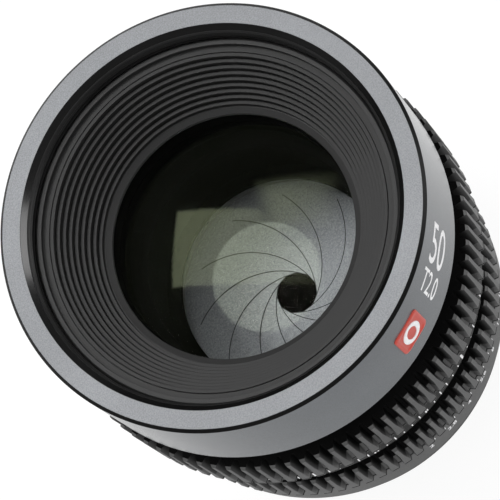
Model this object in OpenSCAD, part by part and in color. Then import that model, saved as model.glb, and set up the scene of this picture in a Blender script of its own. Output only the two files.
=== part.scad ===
// Cinema prime lens with geared focus and iris rings.
// The origin is the centre of the mount flange face, and +Z points to the front glass.

/* [Rear barrel and mount] */
// Diameter of the mount flange
flange_d = 57; // [56.5:0.1:57.4]
// Thickness of the mount flange
flange_t = 2.7; // [2.2:0.1:3.2]
// Outer diameter of the bayonet tube
bayonet_tube_d = 37.8; // [37:0.1:39]
// Wall of the bayonet tube
bayonet_wall = 1.5; // [1.2:0.1:2]
// Length of the bayonet tube behind the flange
bayonet_len = 5.2; // [4.6:0.1:6]
// Diameter over the bayonet tabs
bayonet_tab_d = 40.8; // [40.4:0.1:42]
// Thickness of a bayonet tab
bayonet_tab_t = 1.6; // [1.2:0.1:2]
// Angle that one bayonet tab covers
bayonet_tab_angle = 48; // [40:1:60]
// Angle where the first bayonet tab starts
bayonet_tab_start = 20; // [0:1:60]
// Length of tube past the tabs
bayonet_nose = 0.4; // [0.2:0.1:0.8]
// Thickness of the focus shim behind the barrel
shim_t = 0.3; // [0.2:0.05:0.5]
// Circle radius of the mount screws
mount_screw_circle_r = 25.8; // [25.6:0.1:26]
// Shank diameter of a mount screw
mount_screw_d = 1.7; // [1.4:0.1:2]
// Length of a mount screw
mount_screw_len = 6.3; // [5:0.1:7]
// Height of the rear barrel
rear_barrel_h = 10.7; // [10:0.1:13]
// Diameter of the rear barrel at its top
rear_barrel_d = 64.8; // [64:0.1:66]
// Inner diameter of the rear barrel's mount flange
rear_flange_bore_d = 48; // [47:0.1:48.6]
// Height of the rear barrel's mount flange
rear_flange_h = 5; // [4.5:0.1:5.5]
// Opening of the rear baffle, across
rear_window_w = 17.6; // [14:0.1:20]
// Opening of the rear baffle, high
rear_window_h = 13.2; // [10:0.1:16]

/* [Geared rings] */
// Module of the follow-focus teeth
gear_module = 0.8; // [0.78:0.01:0.82]
// Wall of the focus ring under its teeth
focus_wall = 3; // [2.6:0.1:3.6]
// Wall of the iris ring under its teeth
iris_wall = 3.6; // [3:0.1:4]
// Depth of a tooth
tooth_depth = 1.8; // [1.5:0.1:1.9]
// Width of a tooth gap at the tip
gap_top_w = 1.8; // [1.5:0.1:1.9]
// Width of a tooth gap at its floor
gap_floor_w = 0.6; // [0.4:0.1:0.8]
// Depth of a tooth gap at its rear end
gap_end_depth = 0.75; // [0.4:0.05:0.75]
// Height of the focus ring's scale band
focus_band_h = 7.1; // [6.5:0.1:8]
// Height of the focus ring's toothed stretch
focus_tooth_h = 12.4; // [11:0.1:14]
// Height of the focus ring's nose
focus_nose_h = 2.2; // [1.5:0.1:3]
// Wall of the focus ring's nose
focus_nose_wall = 1.2; // [1:0.1:1.6]
// Height of the iris ring's scale band
iris_band_h = 7.5; // [6.5:0.1:9]
// Height of the iris ring's toothed stretch
iris_tooth_h = 10.4; // [9:0.1:12]
// Height of the iris ring's nose
iris_nose_h = 2.8; // [2:0.1:4]
// Wall of the bushes that the iris ring runs on
iris_bush_wall = 0.73; // [0.6:0.01:0.9]
// Height of the fixed index ring
index_h = 2; // [1.6:0.1:3]
// Diameter of the fixed index ring
index_d = 68; // [67:0.1:69]
// Turn of the focus ring, in degrees
focus_turn = 165; // [140:5:170]

/* [Front barrel] */
// Diameter of the front barrel
front_d = 71; // [70:0.5:74]
// Height of the front barrel
front_h = 21.1; // [20.5:0.1:23]
// Outer chamfer at the front face
front_chamfer = 0.55; // [0.3:0.05:0.8]
// Width of the front face between the filter thread and the barrel's edge
front_rim_w = 4.5; // [4.2:0.1:5]
// Chamfer at the mouth of the filter thread
mouth_chamfer = 0.93; // [0.6:0.01:1.2]
// Wall of the filter ring
filter_wall = 2; // [1.6:0.1:2.2]
// Step from the filter thread in to the baffle's seat
filter_step = 0.4; // [0.3:0.05:0.6]
// Relief groove under the filter thread
thread_relief = 0.3; // [0.2:0.05:0.4]
// Height of the filter ring
filter_h = 6.6; // [6:0.1:7]
// Thickness of the front barrel's inner web
front_web_t = 3; // [2.5:0.1:4]
// Height of the neck between front barrel and focus ring
neck_h = 3.6; // [3:0.1:5]
// Length of the bearing spigot under the neck
neck_spigot = 5; // [3:0.1:6]
// Angle of the badge plate's middle around the barrel
badge_angle = -78; // [-180:1:180]
// Width of the badge plate around the barrel
badge_w = 6.4; // [5:0.1:8]
// Height of the badge plate
badge_h = 8.7; // [6:0.1:10]
// Distance from the front face to the badge plate
badge_drop = 6.7; // [5:0.1:8]
// Height that the badge plate stands proud
badge_proud = 0.35; // [0.2:0.05:0.6]
// Depth of the badge plate's seat
badge_seat = 0.4; // [0.3:0.05:0.6]

/* [Ribbed baffle] */
// Depth of the baffle's rim behind the front face
baffle_drop = 3.3; // [3:0.1:4]
// Step from the retaining ring's opening to the baffle's lower edge
baffle_step = 1.2; // [0.8:0.1:1.6]
// Width of the baffle's bright rim
baffle_rim_w = 1.1; // [0.8:0.1:1.4]
// Width of the ledge between the rim and the ribbed cone
baffle_ledge_w = 1.05; // [0.8:0.05:1.6]
// Number of ribs on the cone
baffle_ribs = 9; // [6:1:11]
// Depth of the grooves between the ribs
baffle_groove = 0.3; // [0.2:0.05:0.6]
// Wall of the baffle cone
baffle_wall = 1.6; // [1.4:0.1:2]

/* [Spine and focus drive] */
// Wall of the spine
spine_wall = 1.6; // [1.4:0.1:2]
// Inner diameter of the upper spine
spine_bore_d = 50; // [49:0.1:51]
// Height of the web where the spine steps in
spine_web = 1.7; // [1.4:0.1:2.2]
// Wall of the cam sleeve
sleeve_wall = 1.5; // [1.2:0.1:1.8]
// Height of the cam sleeve
sleeve_h = 18.6; // [17.5:0.1:19]
// Height of the cam sleeve's drive flange
sleeve_flange_h = 4; // [3.6:0.1:4.6]
// Width of the cam sleeve's drive flange
sleeve_flange_w = 3.2; // [2.8:0.1:3.6]
// Travel of the focus carriage
carriage_travel = 5.75; // [4:0.25:6]
// Height of the focus carriage
carriage_h = 17; // [16:0.1:17.4]
// Wall of the focus carriage
carriage_wall = 4; // [3.8:0.1:4.6]
// Lip that carries the rearmost focus element
carriage_lip = 1.2; // [1:0.1:1.6]
// Width of the carriage's glass seat
carriage_seat_w = 2.4; // [2:0.1:3]
// Diameter of a cam roller
roller_d = 2.4; // [2:0.1:2.6]
// Diameter of a roller screw
roller_screw_d = 1.2; // [1:0.1:1.4]
// Diameter of a focus drive screw
drive_screw_d = 1.4; // [1.2:0.1:1.8]
// Head diameter of a focus drive screw
drive_head_d = 2.8; // [2.4:0.1:3]

/* [Iris] */
// Number of iris blades
blade_count = 11; // [11:1:11]
// Thickness of a blade
blade_t = 0.08; // [0.06:0.01:0.09]
// Step from one blade to the next
blade_step = 0.14; // [0.13:0.01:0.15]
// Diameter of the housing around the iris
iris_housing_d = 53.2; // [52:0.1:54]
// Distance from the housing to the pivot circle
pivot_inset = 3.6; // [3.5:0.1:3.8]
// Distance from the pivot circle to a blade's outer edge
blade_inset = 1.7; // [1.6:0.1:2]
// Width of a blade
blade_w = 6.3; // [6:0.1:6.6]
// Radius of a pivot pin
pivot_pin_r = 0.5; // [0.4:0.05:0.55]
// Radius of a drive pin
drive_pin_r = 0.45; // [0.35:0.05:0.45]
// Distance from pivot to drive pin
drive_arm = 5; // [4.9:0.05:5.1]
// Swing of a blade from open to closed, in degrees
blade_swing = 35; // [34:0.5:35]
// Swing of a blade from open to the stop shown
blade_shown = 29; // [20:1:32]
// Turn of the iris ring from open to closed, in degrees
iris_turn = 52; // [50:1:54]
// Thickness of the base plate that holds the pivots
base_plate_t = 1.5; // [1.2:0.1:2]
// Thickness of the iris cam ring
cam_ring_t = 1.5; // [1.2:0.1:1.8]
// Width of the iris cam ring
cam_ring_w = 5.7; // [5.4:0.1:6]
// Thickness of the iris cover
iris_cover_t = 1.3; // [1:0.1:1.6]
// Opening of the base plate
base_window_d = 32.4; // [31:0.1:34]
// Opening of the iris cover
cover_window_d = 39; // [36:0.1:40]
// Diameter of the key between iris ring and cam ring
iris_key_d = 1.2; // [1:0.1:1.3]

/* [Glass] */
// Diameter of the front glass
front_glass_d = 45.2; // [44.6:0.1:45.6]
// Crown radius of the front glass
front_crown_r = 86.6; // [70:0.1:120]
// Thickness of the front glass
front_glass_t = 5.5; // [5:0.1:6]
// Thickness of the second glass
second_glass_t = 2.2; // [2:0.1:2.6]
// Height of the spacer between the front glasses
front_spacer_h = 0.6; // [0.4:0.1:1]
// Width of the rings that hold the front glasses
front_lip_w = 1.9; // [1.6:0.1:2.4]
// Wall of the front cell
front_cell_wall = 2.6; // [2.2:0.1:3]
// Length of the front cell's spigot in the spine
front_spigot_h = 1.7; // [1.2:0.1:2]
// Crown radius of the stronger inner glasses
strong_crown_r = 90; // [85:1:140]
// Crown radius of the weaker inner glasses
weak_crown_r = 180; // [140:1:260]
// Width of the rings that hold the rear glasses
retaining_lip = 1.7; // [1.4:0.1:2]
// Wall of the rear cell
rear_cell_wall = 2; // [1.6:0.1:2.2]
// Width of the ring that locks the rear cell
lock_ring_w = 2.2; // [2:0.1:2.4]
// Height of the ring that locks the rear cell
lock_ring_h = 2; // [1.6:0.1:2.6]
// Thickness of one rear glass
rear_glass_t = 3.3; // [2.8:0.1:3.4]
// Gap between two rear glasses
rear_glass_gap = 0.7; // [0.5:0.1:0.8]
// Clear opening of the rear cell
retaining_clear_d = 36; // [34:0.1:37]

/* [Clearances] */
// Gap between a turning ring and a fixed ring
ring_gap = 0.3; // [0.2:0.05:0.4]
// Radial clearance of a running fit
running_fit = 0.05; // [0.03:0.01:0.08]
// Radial clearance of a seated piece
seat_fit = 0.02; // [0.01:0.01:0.04]

/* [Hidden] */
$fn = 96;

// Small overlap that carries a cut past a face
cut = 1;
// Small edge chamfer on turned pieces
edge = 0.4;

// Heights of the stack, from the flange face up
shim_z = flange_t;
rear_barrel_z = shim_z + shim_t;
spine_z = rear_barrel_z + rear_flange_h;
iris_ring_z = rear_barrel_z + rear_barrel_h + ring_gap;
iris_tooth_z = iris_ring_z + iris_band_h;
iris_nose_z = iris_tooth_z + iris_tooth_h;
iris_ring_top = iris_nose_z + iris_nose_h;
index_z = iris_ring_top + ring_gap;
index_top = index_z + index_h;
focus_ring_z = index_top + ring_gap;
focus_tooth_z = focus_ring_z + focus_band_h;
focus_nose_z = focus_tooth_z + focus_tooth_h;
focus_ring_top = focus_nose_z + focus_nose_h;
neck_z = focus_ring_top + ring_gap;
front_z = neck_z + neck_h;
front_face_z = front_z + front_h;
spine_top = front_z;
spine_step_z = index_z + spine_web;
ledge_z = index_z - ring_gap + seat_fit;

// Radii of the rings and their bearings
iris_housing_r = iris_housing_d / 2;
spine_low_r = iris_housing_r + spine_wall;
spine_mid_r = spine_bore_d / 2 + spine_wall;
sleeve_bore_r = spine_mid_r + ring_gap;
sleeve_r = sleeve_bore_r + sleeve_wall;
focus_bore_r = sleeve_r + sleeve_flange_w;
iris_bore_r = spine_low_r + seat_fit + iris_bush_wall + running_fit;
focus_teeth = round(2 * (focus_bore_r + focus_wall + tooth_depth) / gear_module) - 2;
iris_teeth = round(2 * (iris_bore_r + iris_wall + tooth_depth) / gear_module) - 2;
focus_tip_r = gear_module * (focus_teeth + 2) / 2;
iris_tip_r = gear_module * (iris_teeth + 2) / 2;
neck_r = focus_bore_r + focus_nose_wall;
focus_root_r = focus_tip_r - tooth_depth;
iris_root_r = iris_tip_r - tooth_depth;
focus_bearing_r = focus_bore_r - running_fit;
iris_bearing_r = iris_bore_r - running_fit;
filter_d = front_d - 2 * front_rim_w;
filter_seat_r = filter_d / 2 - filter_step;
front_bore_r = filter_d / 2 + filter_wall + seat_fit;

// Iris stack, from the spine's ledge down
iris_cover_z = ledge_z - iris_cover_t;
cam_ring_z = iris_cover_z - ring_gap - cam_ring_t;
blade_stack = (blade_count - 1) * blade_step + blade_t;
blade_z = cam_ring_z - ring_gap - blade_stack;
base_plate_top = blade_z - ring_gap / 2;
base_plate_z = base_plate_top - base_plate_t;
blade_pitch = 360 / blade_count;
arm_start = -blade_swing / 2;
iris_ratio = blade_swing / iris_turn;
iris_open_turn = blade_shown / iris_ratio;
iris_close_turn = iris_turn - iris_open_turn;
cam_slot_half_w = drive_pin_r + 2 * running_fit;
cam_ring_r = iris_housing_r - ring_gap;
pivot_circle_r = iris_housing_r - pivot_inset;
blade_outer_r = pivot_circle_r - blade_inset;
blade_inner_r = blade_outer_r - blade_w;
blade_tail_r = 1;
blade_ear_r = 1.4;
blade_lead = 8;
blade_reach = 98;
key_angle = arm_polar(blade_swing) + iris_close_turn - 0.8 * blade_pitch;
key_z = cam_ring_z + cam_ring_t / 2;

// Cells and glass
cell_flange_h = 2;
cell_flange_w = 2.4;
cell_bore_r = front_glass_d / 2 + seat_fit;
front_cell_r = cell_bore_r + front_cell_wall;
front_clear_r = front_glass_d / 2 - front_lip_w;
front_cell_lip = 0.8;
front_cell_z = front_z - front_spigot_h;
second_glass_z = front_z + front_cell_lip;
front_spacer_z = second_glass_z + second_glass_t;
front_glass_z = front_spacer_z + front_spacer_h;
front_glass_top = front_glass_z + front_glass_t;
front_ring_z = front_glass_top - crown_sag(front_crown_r, front_clear_r) + 0.2;
front_ring_t = 1.3;
front_ring_r = front_glass_d / 2 + 1.4;
carriage_z = index_top + 0.9;
carriage_r = spine_bore_d / 2 - running_fit;
carriage_bore_r = carriage_r - carriage_wall;
carriage_clear_r = carriage_bore_r - carriage_seat_w;
retaining_t = 1.5;
roller_z = carriage_z + carriage_h / 2;
roller_count = 3;
roller_angle = 30;
sleeve_z = index_top + 2;
drive_screw_z = sleeve_z + sleeve_flange_h / 2;
rear_bore_r = retaining_clear_d / 2 + retaining_lip;
rear_cell_r = rear_bore_r + rear_cell_wall;
rear_cell_flange_t = 1.5;
rear_cell_top = base_plate_z;
rear_glass_top = rear_cell_top - 1.6;
rear_glass_count = 5;
rear_pitch = rear_glass_t + rear_glass_gap;
rear_stack_z = rear_glass_top - rear_glass_count * rear_pitch;

// Small fasteners and marks
grub_r = 0.8;
screw_head_d = 3.3;
screw_head_t = 0.8;
head_sink = 1.3;
dot_r = 0.9;
iris_band_r = iris_tip_r - 0.8;
iris_key_end = iris_bore_r + 2;

// Depth of a crown at radius r
function crown_sag(crown_r, r) = crown_r - sqrt(crown_r * crown_r - r * r);
// Place of a blade's drive pin, seen from the axis, at a swing from open
function arm_point(swing) =
    [pivot_circle_r + drive_arm * sin(arm_start + swing), drive_arm * cos(arm_start + swing)];
function arm_polar(swing) = atan2(arm_point(swing)[1], arm_point(swing)[0]);
// Turn of the iris ring, from the stop shown, at a swing from open
function ring_turn(swing) = (blade_shown - swing) / iris_ratio;
// Cam slot's middle line in the cam ring
function slot_point(swing) =
    let (a = arm_polar(swing) - ring_turn(swing))
    norm(arm_point(swing)) * [cos(a), sin(a)];
function slot_side(swing, side) =
    let (d = slot_point(swing + 0.1) - slot_point(swing - 0.1))
    slot_point(swing) + side * cam_slot_half_w * [-d[1], d[0]] / norm(d);

// Hollow turned ring between two radii
module ring(inner_r, outer_r, z, h) {
    translate([0, 0, z])
        difference() {
            cylinder(r = outer_r, h = h);
            translate([0, 0, -cut])
                cylinder(r = inner_r, h = h + 2 * cut);
        }
}

// Turned ring with both outer edges broken
module broken_ring(inner_r, outer_r, z, h, b) {
    rotate_extrude()
        polygon([
            [inner_r, z], [outer_r - b, z], [outer_r, z + b],
            [outer_r, z + h - b], [outer_r - b, z + h], [inner_r, z + h]
        ]);
}

// Round bar along a radius
module radial_bar(r, from_r, to_r, angle, z) {
    rotate([0, 0, angle])
        translate([from_r, 0, z])
            rotate([0, 90, 0])
                cylinder(r = r, h = to_r - from_r, $fn = 32);
}

// Three-way pattern around the axis
module around(count, start) {
    for (i = [0 : count - 1])
        rotate([0, 0, start + i * 360 / count])
            children();
}

// Glass element from z to z + t, with signed crown radii: above 0 bulges, below 0 is hollow, 0 is flat
module glass(r, z, t, front, rear) {
    land = 1;
    $fn = 300;
    color([0.72, 0.80, 0.85, 0.5])
        difference() {
            intersection() {
                translate([0, 0, z])
                    cylinder(r = r, h = t);
                if (front > 0)
                    translate([0, 0, z + t - front])
                        sphere(r = front);
                if (rear > 0)
                    translate([0, 0, z + rear])
                        sphere(r = rear);
            }
            if (front < 0)
                translate([0, 0, z + t + sqrt(front * front - pow(r - land, 2))])
                    sphere(r = -front);
            if (rear < 0)
                translate([0, 0, z - sqrt(rear * rear - pow(r - land, 2))])
                    sphere(r = -rear);
        }
}

// One tooth gap, straight at the front and running out towards the rear
module tooth_gap(root_r, z, h) {
    spare = 0.6;
    flare = (gap_top_w - gap_floor_w) / 2 * spare / tooth_depth;
    run_out_len = h / 2;
    slope = atan((tooth_depth - gap_end_depth) / run_out_len);
    outline = [
        [0, -gap_floor_w / 2], [0, gap_floor_w / 2],
        [tooth_depth + spare, gap_top_w / 2 + flare], [tooth_depth + spare, -gap_top_w / 2 - flare]
    ];
    translate([root_r, 0, z + h - run_out_len]) {
        linear_extrude(h)
            polygon(outline);
        mirror([0, 0, 1])
            rotate([0, slope, 0])
                linear_extrude(h)
                    polygon(outline);
    }
}

module tooth_gaps(teeth, root_r, z, h) {
    for (i = [0 : teeth - 1])
        rotate([0, 0, i * 360 / teeth])
            tooth_gap(root_r, z, h);
}

// Toothed ring: scale band, toothed stretch with a fine line at its foot, and nose
module geared_blank(bore_r, band_r, tip_r, nose_r, z, band_h, tooth_h, nose_h) {
    line_w = 0.3;
    tip_break = 0.5;
    rotate_extrude()
        polygon([
            [bore_r, z], [band_r - edge, z], [band_r, z + edge],
            [band_r, z + band_h], [tip_r, z + band_h],
            [tip_r, z + band_h + line_w], [tip_r - line_w, z + band_h + line_w],
            [tip_r - line_w, z + band_h + 2 * line_w], [tip_r, z + band_h + 2 * line_w],
            [tip_r, z + band_h + tooth_h - tip_break], [tip_r - tip_break, z + band_h + tooth_h],
            [nose_r, z + band_h + tooth_h], [nose_r, z + band_h + tooth_h + nose_h - edge],
            [nose_r - edge, z + band_h + tooth_h + nose_h], [bore_r, z + band_h + tooth_h + nose_h]
        ]);
}

module front_barrel() {
    r = front_d / 2;
    mouth_r = filter_d / 2;
    lip_z = front_face_z - mouth_chamfer;
    web_top = front_z + front_web_t;
    color([0.60, 0.61, 0.64])
        difference() {
            rotate_extrude()
                polygon([
                    [front_cell_r + seat_fit, front_z], [r - edge, front_z], [r, front_z + edge],
                    [r, front_face_z - front_chamfer], [r - front_chamfer, front_face_z],
                    [mouth_r + mouth_chamfer, front_face_z], [mouth_r, lip_z],
                    [front_bore_r, lip_z], [front_bore_r, web_top], [front_cell_r + seat_fit, web_top]
                ]);
            badge_block(r - badge_seat, r + cut, seat_fit);
        }
}

// Block of the badge plate between two radii, grown by a clearance
module badge_block(inner_r, outer_r, grow) {
    span = (badge_w + 2 * grow) / (front_d / 2) * 180 / PI;
    rotate([0, 0, badge_angle - span / 2])
        rotate_extrude(angle = span)
            translate([inner_r, front_face_z - badge_drop - badge_h - grow])
                square([outer_r - inner_r, badge_h + 2 * grow]);
}

module badge_plate() {
    color([0.72, 0.12, 0.10])
        badge_block(front_d / 2 - badge_seat, front_d / 2 + badge_proud, 0);
}

module filter_ring() {
    lip_z = front_face_z - mouth_chamfer;
    low_z = lip_z - filter_h;
    seat_top = front_face_z - baffle_drop;
    thread_low = seat_top + thread_relief;
    thread_r = filter_d / 2;
    outer_r = front_bore_r - seat_fit;
    color([0.06, 0.06, 0.07])
        rotate_extrude()
            polygon([
                [filter_seat_r, low_z], [outer_r, low_z], [outer_r, lip_z], [thread_r, lip_z],
                [thread_r, thread_low], [thread_r + thread_relief, thread_low],
                [thread_r + thread_relief, seat_top], [filter_seat_r, seat_top]
            ]);
}

module front_baffle() {
    rim_z = front_face_z - baffle_drop;
    low_z = front_ring_z + front_ring_t + seat_fit;
    low_r = front_clear_r + baffle_step;
    rim_out_r = filter_seat_r - running_fit;
    rim_r = rim_out_r - baffle_rim_w;
    cone_r = rim_r - baffle_ledge_w;
    cone_z = rim_z - 1;
    step_r = (cone_r - low_r) / baffle_ribs;
    step_z = (cone_z - low_z) / baffle_ribs;
    tread = 0.85;
    rib_points = [
        for (i = [0 : baffle_ribs - 1])
            let (r = low_r + i * step_r, z = low_z + (i + 1) * step_z)
            each [
                [r, z], [r + tread * step_r, z],
                [r + tread * step_r, z - baffle_groove], [r + step_r, z - baffle_groove]
            ]
    ];
    rim_chamfer = 0.4;
    skirt_z = rim_z - 3;
    color([0.09, 0.09, 0.10])
        rotate_extrude()
            polygon(concat(
                [[low_r, low_z]],
                rib_points,
                [
                    [cone_r, cone_z], [rim_r, cone_z], [rim_r, rim_z], [rim_out_r - rim_chamfer, rim_z],
                    [rim_out_r, rim_z - rim_chamfer], [rim_out_r, skirt_z], [cone_r + baffle_wall, skirt_z],
                    [low_r + baffle_wall, low_z]
                ]));
}

module front_cell() {
    spigot_r = spine_bore_d / 2 - seat_fit;
    flange_r = front_cell_r + cell_flange_w;
    flange_z = front_z + front_web_t;
    pocket_r = front_ring_r + seat_fit;
    cell_top = front_ring_z + ring_gap;
    color([0.12, 0.12, 0.13])
        rotate_extrude()
            polygon([
                [front_clear_r, front_cell_z], [spigot_r, front_cell_z], [spigot_r, front_z],
                [front_cell_r, front_z], [front_cell_r, flange_z], [flange_r, flange_z],
                [flange_r, flange_z + cell_flange_h], [front_cell_r, flange_z + cell_flange_h],
                [front_cell_r, cell_top], [pocket_r, cell_top], [pocket_r, front_ring_z],
                [cell_bore_r, front_ring_z], [cell_bore_r, second_glass_z], [front_clear_r, second_glass_z]
            ]);
}

module front_retaining_ring() {
    color([0.10, 0.10, 0.11])
        broken_ring(front_clear_r, front_ring_r, front_ring_z, front_ring_t, edge / 2);
}

module front_spacer_ring() {
    color([0.10, 0.10, 0.11])
        ring(front_clear_r, front_glass_d / 2, front_spacer_z, front_spacer_h);
}

module element_1() {
    glass(front_glass_d / 2, front_glass_z, front_glass_t, front_crown_r, 0);
}

module element_2() {
    glass(front_glass_d / 2, second_glass_z, second_glass_t, 0, -weak_crown_r);
}

module neck_ring() {
    color([0.05, 0.05, 0.05])
        difference() {
            rotate_extrude()
                polygon([
                    [spine_mid_r + seat_fit, neck_z], [sleeve_r + ring_gap, neck_z],
                    [sleeve_r + ring_gap, neck_z - neck_spigot], [focus_bearing_r, neck_z - neck_spigot],
                    [focus_bearing_r, neck_z], [neck_r, neck_z], [neck_r, front_z],
                    [spine_mid_r + seat_fit, front_z]
                ]);
            around(roller_count, roller_angle)
                radial_bar(grub_r + seat_fit, spine_mid_r, neck_r + cut, 0, neck_z + neck_h / 2);
        }
}

module barrel_grub_screws() {
    color([0.20, 0.20, 0.21])
        around(roller_count, roller_angle)
            radial_bar(grub_r, spine_mid_r + seat_fit, neck_r - 1, 0, neck_z + neck_h / 2);
}

module guide_barrel() {
    slot_low = roller_z - roller_d / 2 - ring_gap;
    slot_h = carriage_travel + roller_d + 2 * ring_gap;
    slot_w = roller_d + 2 * running_fit;
    key_room = iris_key_d / 2 + ring_gap;
    key_span = iris_turn + 2 * asin(key_room / iris_housing_r) + 2;
    color([0.45, 0.46, 0.48])
        difference() {
            rotate_extrude()
                polygon([
                    [iris_housing_r, spine_z], [spine_low_r, spine_z], [spine_low_r, spine_step_z],
                    [spine_mid_r, spine_step_z], [spine_mid_r, spine_top],
                    [spine_bore_d / 2, spine_top], [spine_bore_d / 2, ledge_z], [iris_housing_r, ledge_z]
                ]);
            around(roller_count, roller_angle)
                translate([spine_bore_d / 2 - cut, -slot_w / 2, slot_low])
                    cube([spine_wall + 2 * cut, slot_w, slot_h]);
            rotate([0, 0, key_angle - iris_close_turn - (key_span - iris_turn) / 2])
                rotate_extrude(angle = key_span)
                    translate([iris_housing_r - cut, key_z - key_room])
                        square([spine_wall + 2 * cut, 2 * key_room]);
        }
}

module index_ring() {
    spigot_h = 1.2;
    bore_r = spine_low_r + seat_fit;
    r = index_d / 2;
    color([0.09, 0.09, 0.10])
        rotate_extrude()
            polygon([
                [bore_r, index_z], [r - edge, index_z], [r, index_z + edge], [r, index_top - edge],
                [r - edge, index_top], [focus_bearing_r, index_top], [focus_bearing_r, index_top + spigot_h],
                [sleeve_r + ring_gap, index_top + spigot_h], [sleeve_r + ring_gap, index_top],
                [bore_r, index_top]
            ]);
}

module iris_bushes() {
    bush_h = 3;
    rear_inset = 0.6;
    front_inset = 4;
    color([0.75, 0.66, 0.42])
        for (z = [iris_ring_z + rear_inset, iris_tooth_z + front_inset])
            ring(spine_low_r + seat_fit, iris_bearing_r, z, bush_h);
}

module iris_cover() {
    color([0.05, 0.05, 0.05])
        ring(cover_window_d / 2, iris_housing_r - seat_fit, iris_cover_z, iris_cover_t);
}

module iris_base_plate() {
    color([0.08, 0.08, 0.08])
        difference() {
            ring(base_window_d / 2, iris_housing_r - seat_fit, base_plate_z, base_plate_t);
            around(blade_count, 0)
                translate([pivot_circle_r, 0, base_plate_z - cut])
                    cylinder(r = pivot_pin_r + running_fit, h = base_plate_t + 2 * cut, $fn = 32);
        }
}

module rear_cell() {
    color([0.12, 0.12, 0.13])
        difference() {
            union() {
                translate([0, 0, rear_stack_z - retaining_t])
                    cylinder(r = rear_cell_r, h = rear_cell_top - rear_stack_z + retaining_t);
                translate([0, 0, rear_cell_top - rear_cell_flange_t])
                    cylinder(r = iris_housing_r - seat_fit, h = rear_cell_flange_t);
            }
            translate([0, 0, rear_stack_z - retaining_t - cut])
                cylinder(r = rear_bore_r, h = rear_glass_top - rear_stack_z + retaining_t + cut);
            translate([0, 0, rear_glass_top - cut])
                cylinder(r = retaining_clear_d / 2, h = rear_cell_top - rear_glass_top + 2 * cut);
        }
}

module cell_lock_ring() {
    color([0.10, 0.10, 0.11])
        ring(iris_housing_r - seat_fit - lock_ring_w, iris_housing_r - seat_fit,
            rear_cell_top - rear_cell_flange_t - lock_ring_h, lock_ring_h);
}

// Rear glass counted from the iris towards the mount
module rear_glass(i, front, rear) {
    z = rear_glass_top - i * rear_pitch - rear_glass_t;
    glass(rear_bore_r - seat_fit, z, rear_glass_t, front, rear);
}

module element_6() {
    rear_glass(0, -strong_crown_r, 0);
}

module element_7() {
    rear_glass(1, weak_crown_r, 0);
}

module element_8() {
    rear_glass(2, 0, weak_crown_r);
}

module element_9() {
    rear_glass(3, weak_crown_r, 0);
}

module element_10() {
    rear_glass(4, 0, weak_crown_r);
}

module rear_retaining_ring() {
    color([0.10, 0.10, 0.11])
        ring(retaining_clear_d / 2, rear_bore_r - seat_fit,
            rear_stack_z - retaining_t + rear_glass_gap, retaining_t);
}

module rear_barrel() {
    r = rear_barrel_d / 2;
    top = rear_barrel_z + rear_barrel_h;
    straight_h = 4;
    color([0.10, 0.10, 0.11])
        difference() {
            rotate_extrude()
                polygon([
                    [rear_flange_bore_d / 2, rear_barrel_z], [flange_d / 2, rear_barrel_z],
                    [flange_d / 2, rear_barrel_z + edge], [r, top - straight_h], [r, top - edge],
                    [r - edge, top], [spine_low_r + seat_fit, top],
                    [spine_low_r + seat_fit, spine_z], [rear_flange_bore_d / 2, spine_z]
                ]);
            mount_screw_holes(mount_screw_d / 2 + seat_fit);
        }
}

// Holes of the mount screws, right through the stack
module mount_screw_holes(r) {
    around(4, 45)
        translate([mount_screw_circle_r, 0, -cut])
            cylinder(r = r, h = mount_screw_len + 2 * cut, $fn = 32);
}

module mount_shim() {
    color([0.70, 0.56, 0.28])
        difference() {
            ring(rear_flange_bore_d / 2, flange_d / 2 - edge, shim_z, shim_t);
            mount_screw_holes(mount_screw_d / 2 + 2 * running_fit);
        }
}

module mount_flange() {
    tube_r = bayonet_tube_d / 2;
    color([0.74, 0.75, 0.76])
        difference() {
            union() {
                rotate_extrude()
                    polygon([
                        [tube_r - bayonet_wall, -bayonet_len], [tube_r, -bayonet_len], [tube_r, 0],
                        [flange_d / 2 - edge, 0], [flange_d / 2, edge], [flange_d / 2, flange_t],
                        [tube_r - bayonet_wall, flange_t]
                    ]);
                around(3, bayonet_tab_start)
                    rotate_extrude(angle = bayonet_tab_angle)
                        translate([tube_r - bayonet_wall / 2, bayonet_nose - bayonet_len])
                            square([bayonet_tab_d / 2 - tube_r + bayonet_wall / 2, bayonet_tab_t]);
            }
            mount_screw_holes(mount_screw_d / 2 + 2 * running_fit);
            around(4, 45)
                translate([mount_screw_circle_r, 0, -cut])
                    cylinder(r = screw_head_d / 2 + running_fit, h = screw_head_t + cut, $fn = 32);
            radial_bar(dot_r + seat_fit, flange_d / 2 - 1, flange_d / 2 + cut, -90, flange_t / 2);
        }
}

module mount_index_dot() {
    color([0.80, 0.10, 0.08])
        radial_bar(dot_r, flange_d / 2 - 1, flange_d / 2 - 0.1, -90, flange_t / 2);
}

module mount_screws() {
    slot_w = 0.5;
    color([0.55, 0.56, 0.58])
        around(4, 45)
            translate([mount_screw_circle_r, 0, 0])
                difference() {
                    union() {
                        translate([0, 0, running_fit])
                            cylinder(r = screw_head_d / 2, h = screw_head_t - running_fit, $fn = 32);
                        translate([0, 0, screw_head_t - running_fit])
                            cylinder(r = mount_screw_d / 2, h = mount_screw_len - screw_head_t, $fn = 32);
                    }
                    for (turn = [0, 90])
                        rotate([0, 0, turn])
                            translate([-slot_w * 2, -slot_w / 2, -cut])
                                cube([slot_w * 4, slot_w, cut + screw_head_t / 2]);
                }
}

module rear_baffle() {
    plate_t = 1;
    color([0.04, 0.04, 0.04])
        translate([0, 0, -bayonet_len + edge * 2])
            difference() {
                cylinder(r = bayonet_tube_d / 2 - bayonet_wall - seat_fit, h = plate_t);
                translate([-rear_window_w / 2, -rear_window_h / 2, -cut])
                    cube([rear_window_w, rear_window_h, plate_t + 2 * cut]);
            }
}

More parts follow.
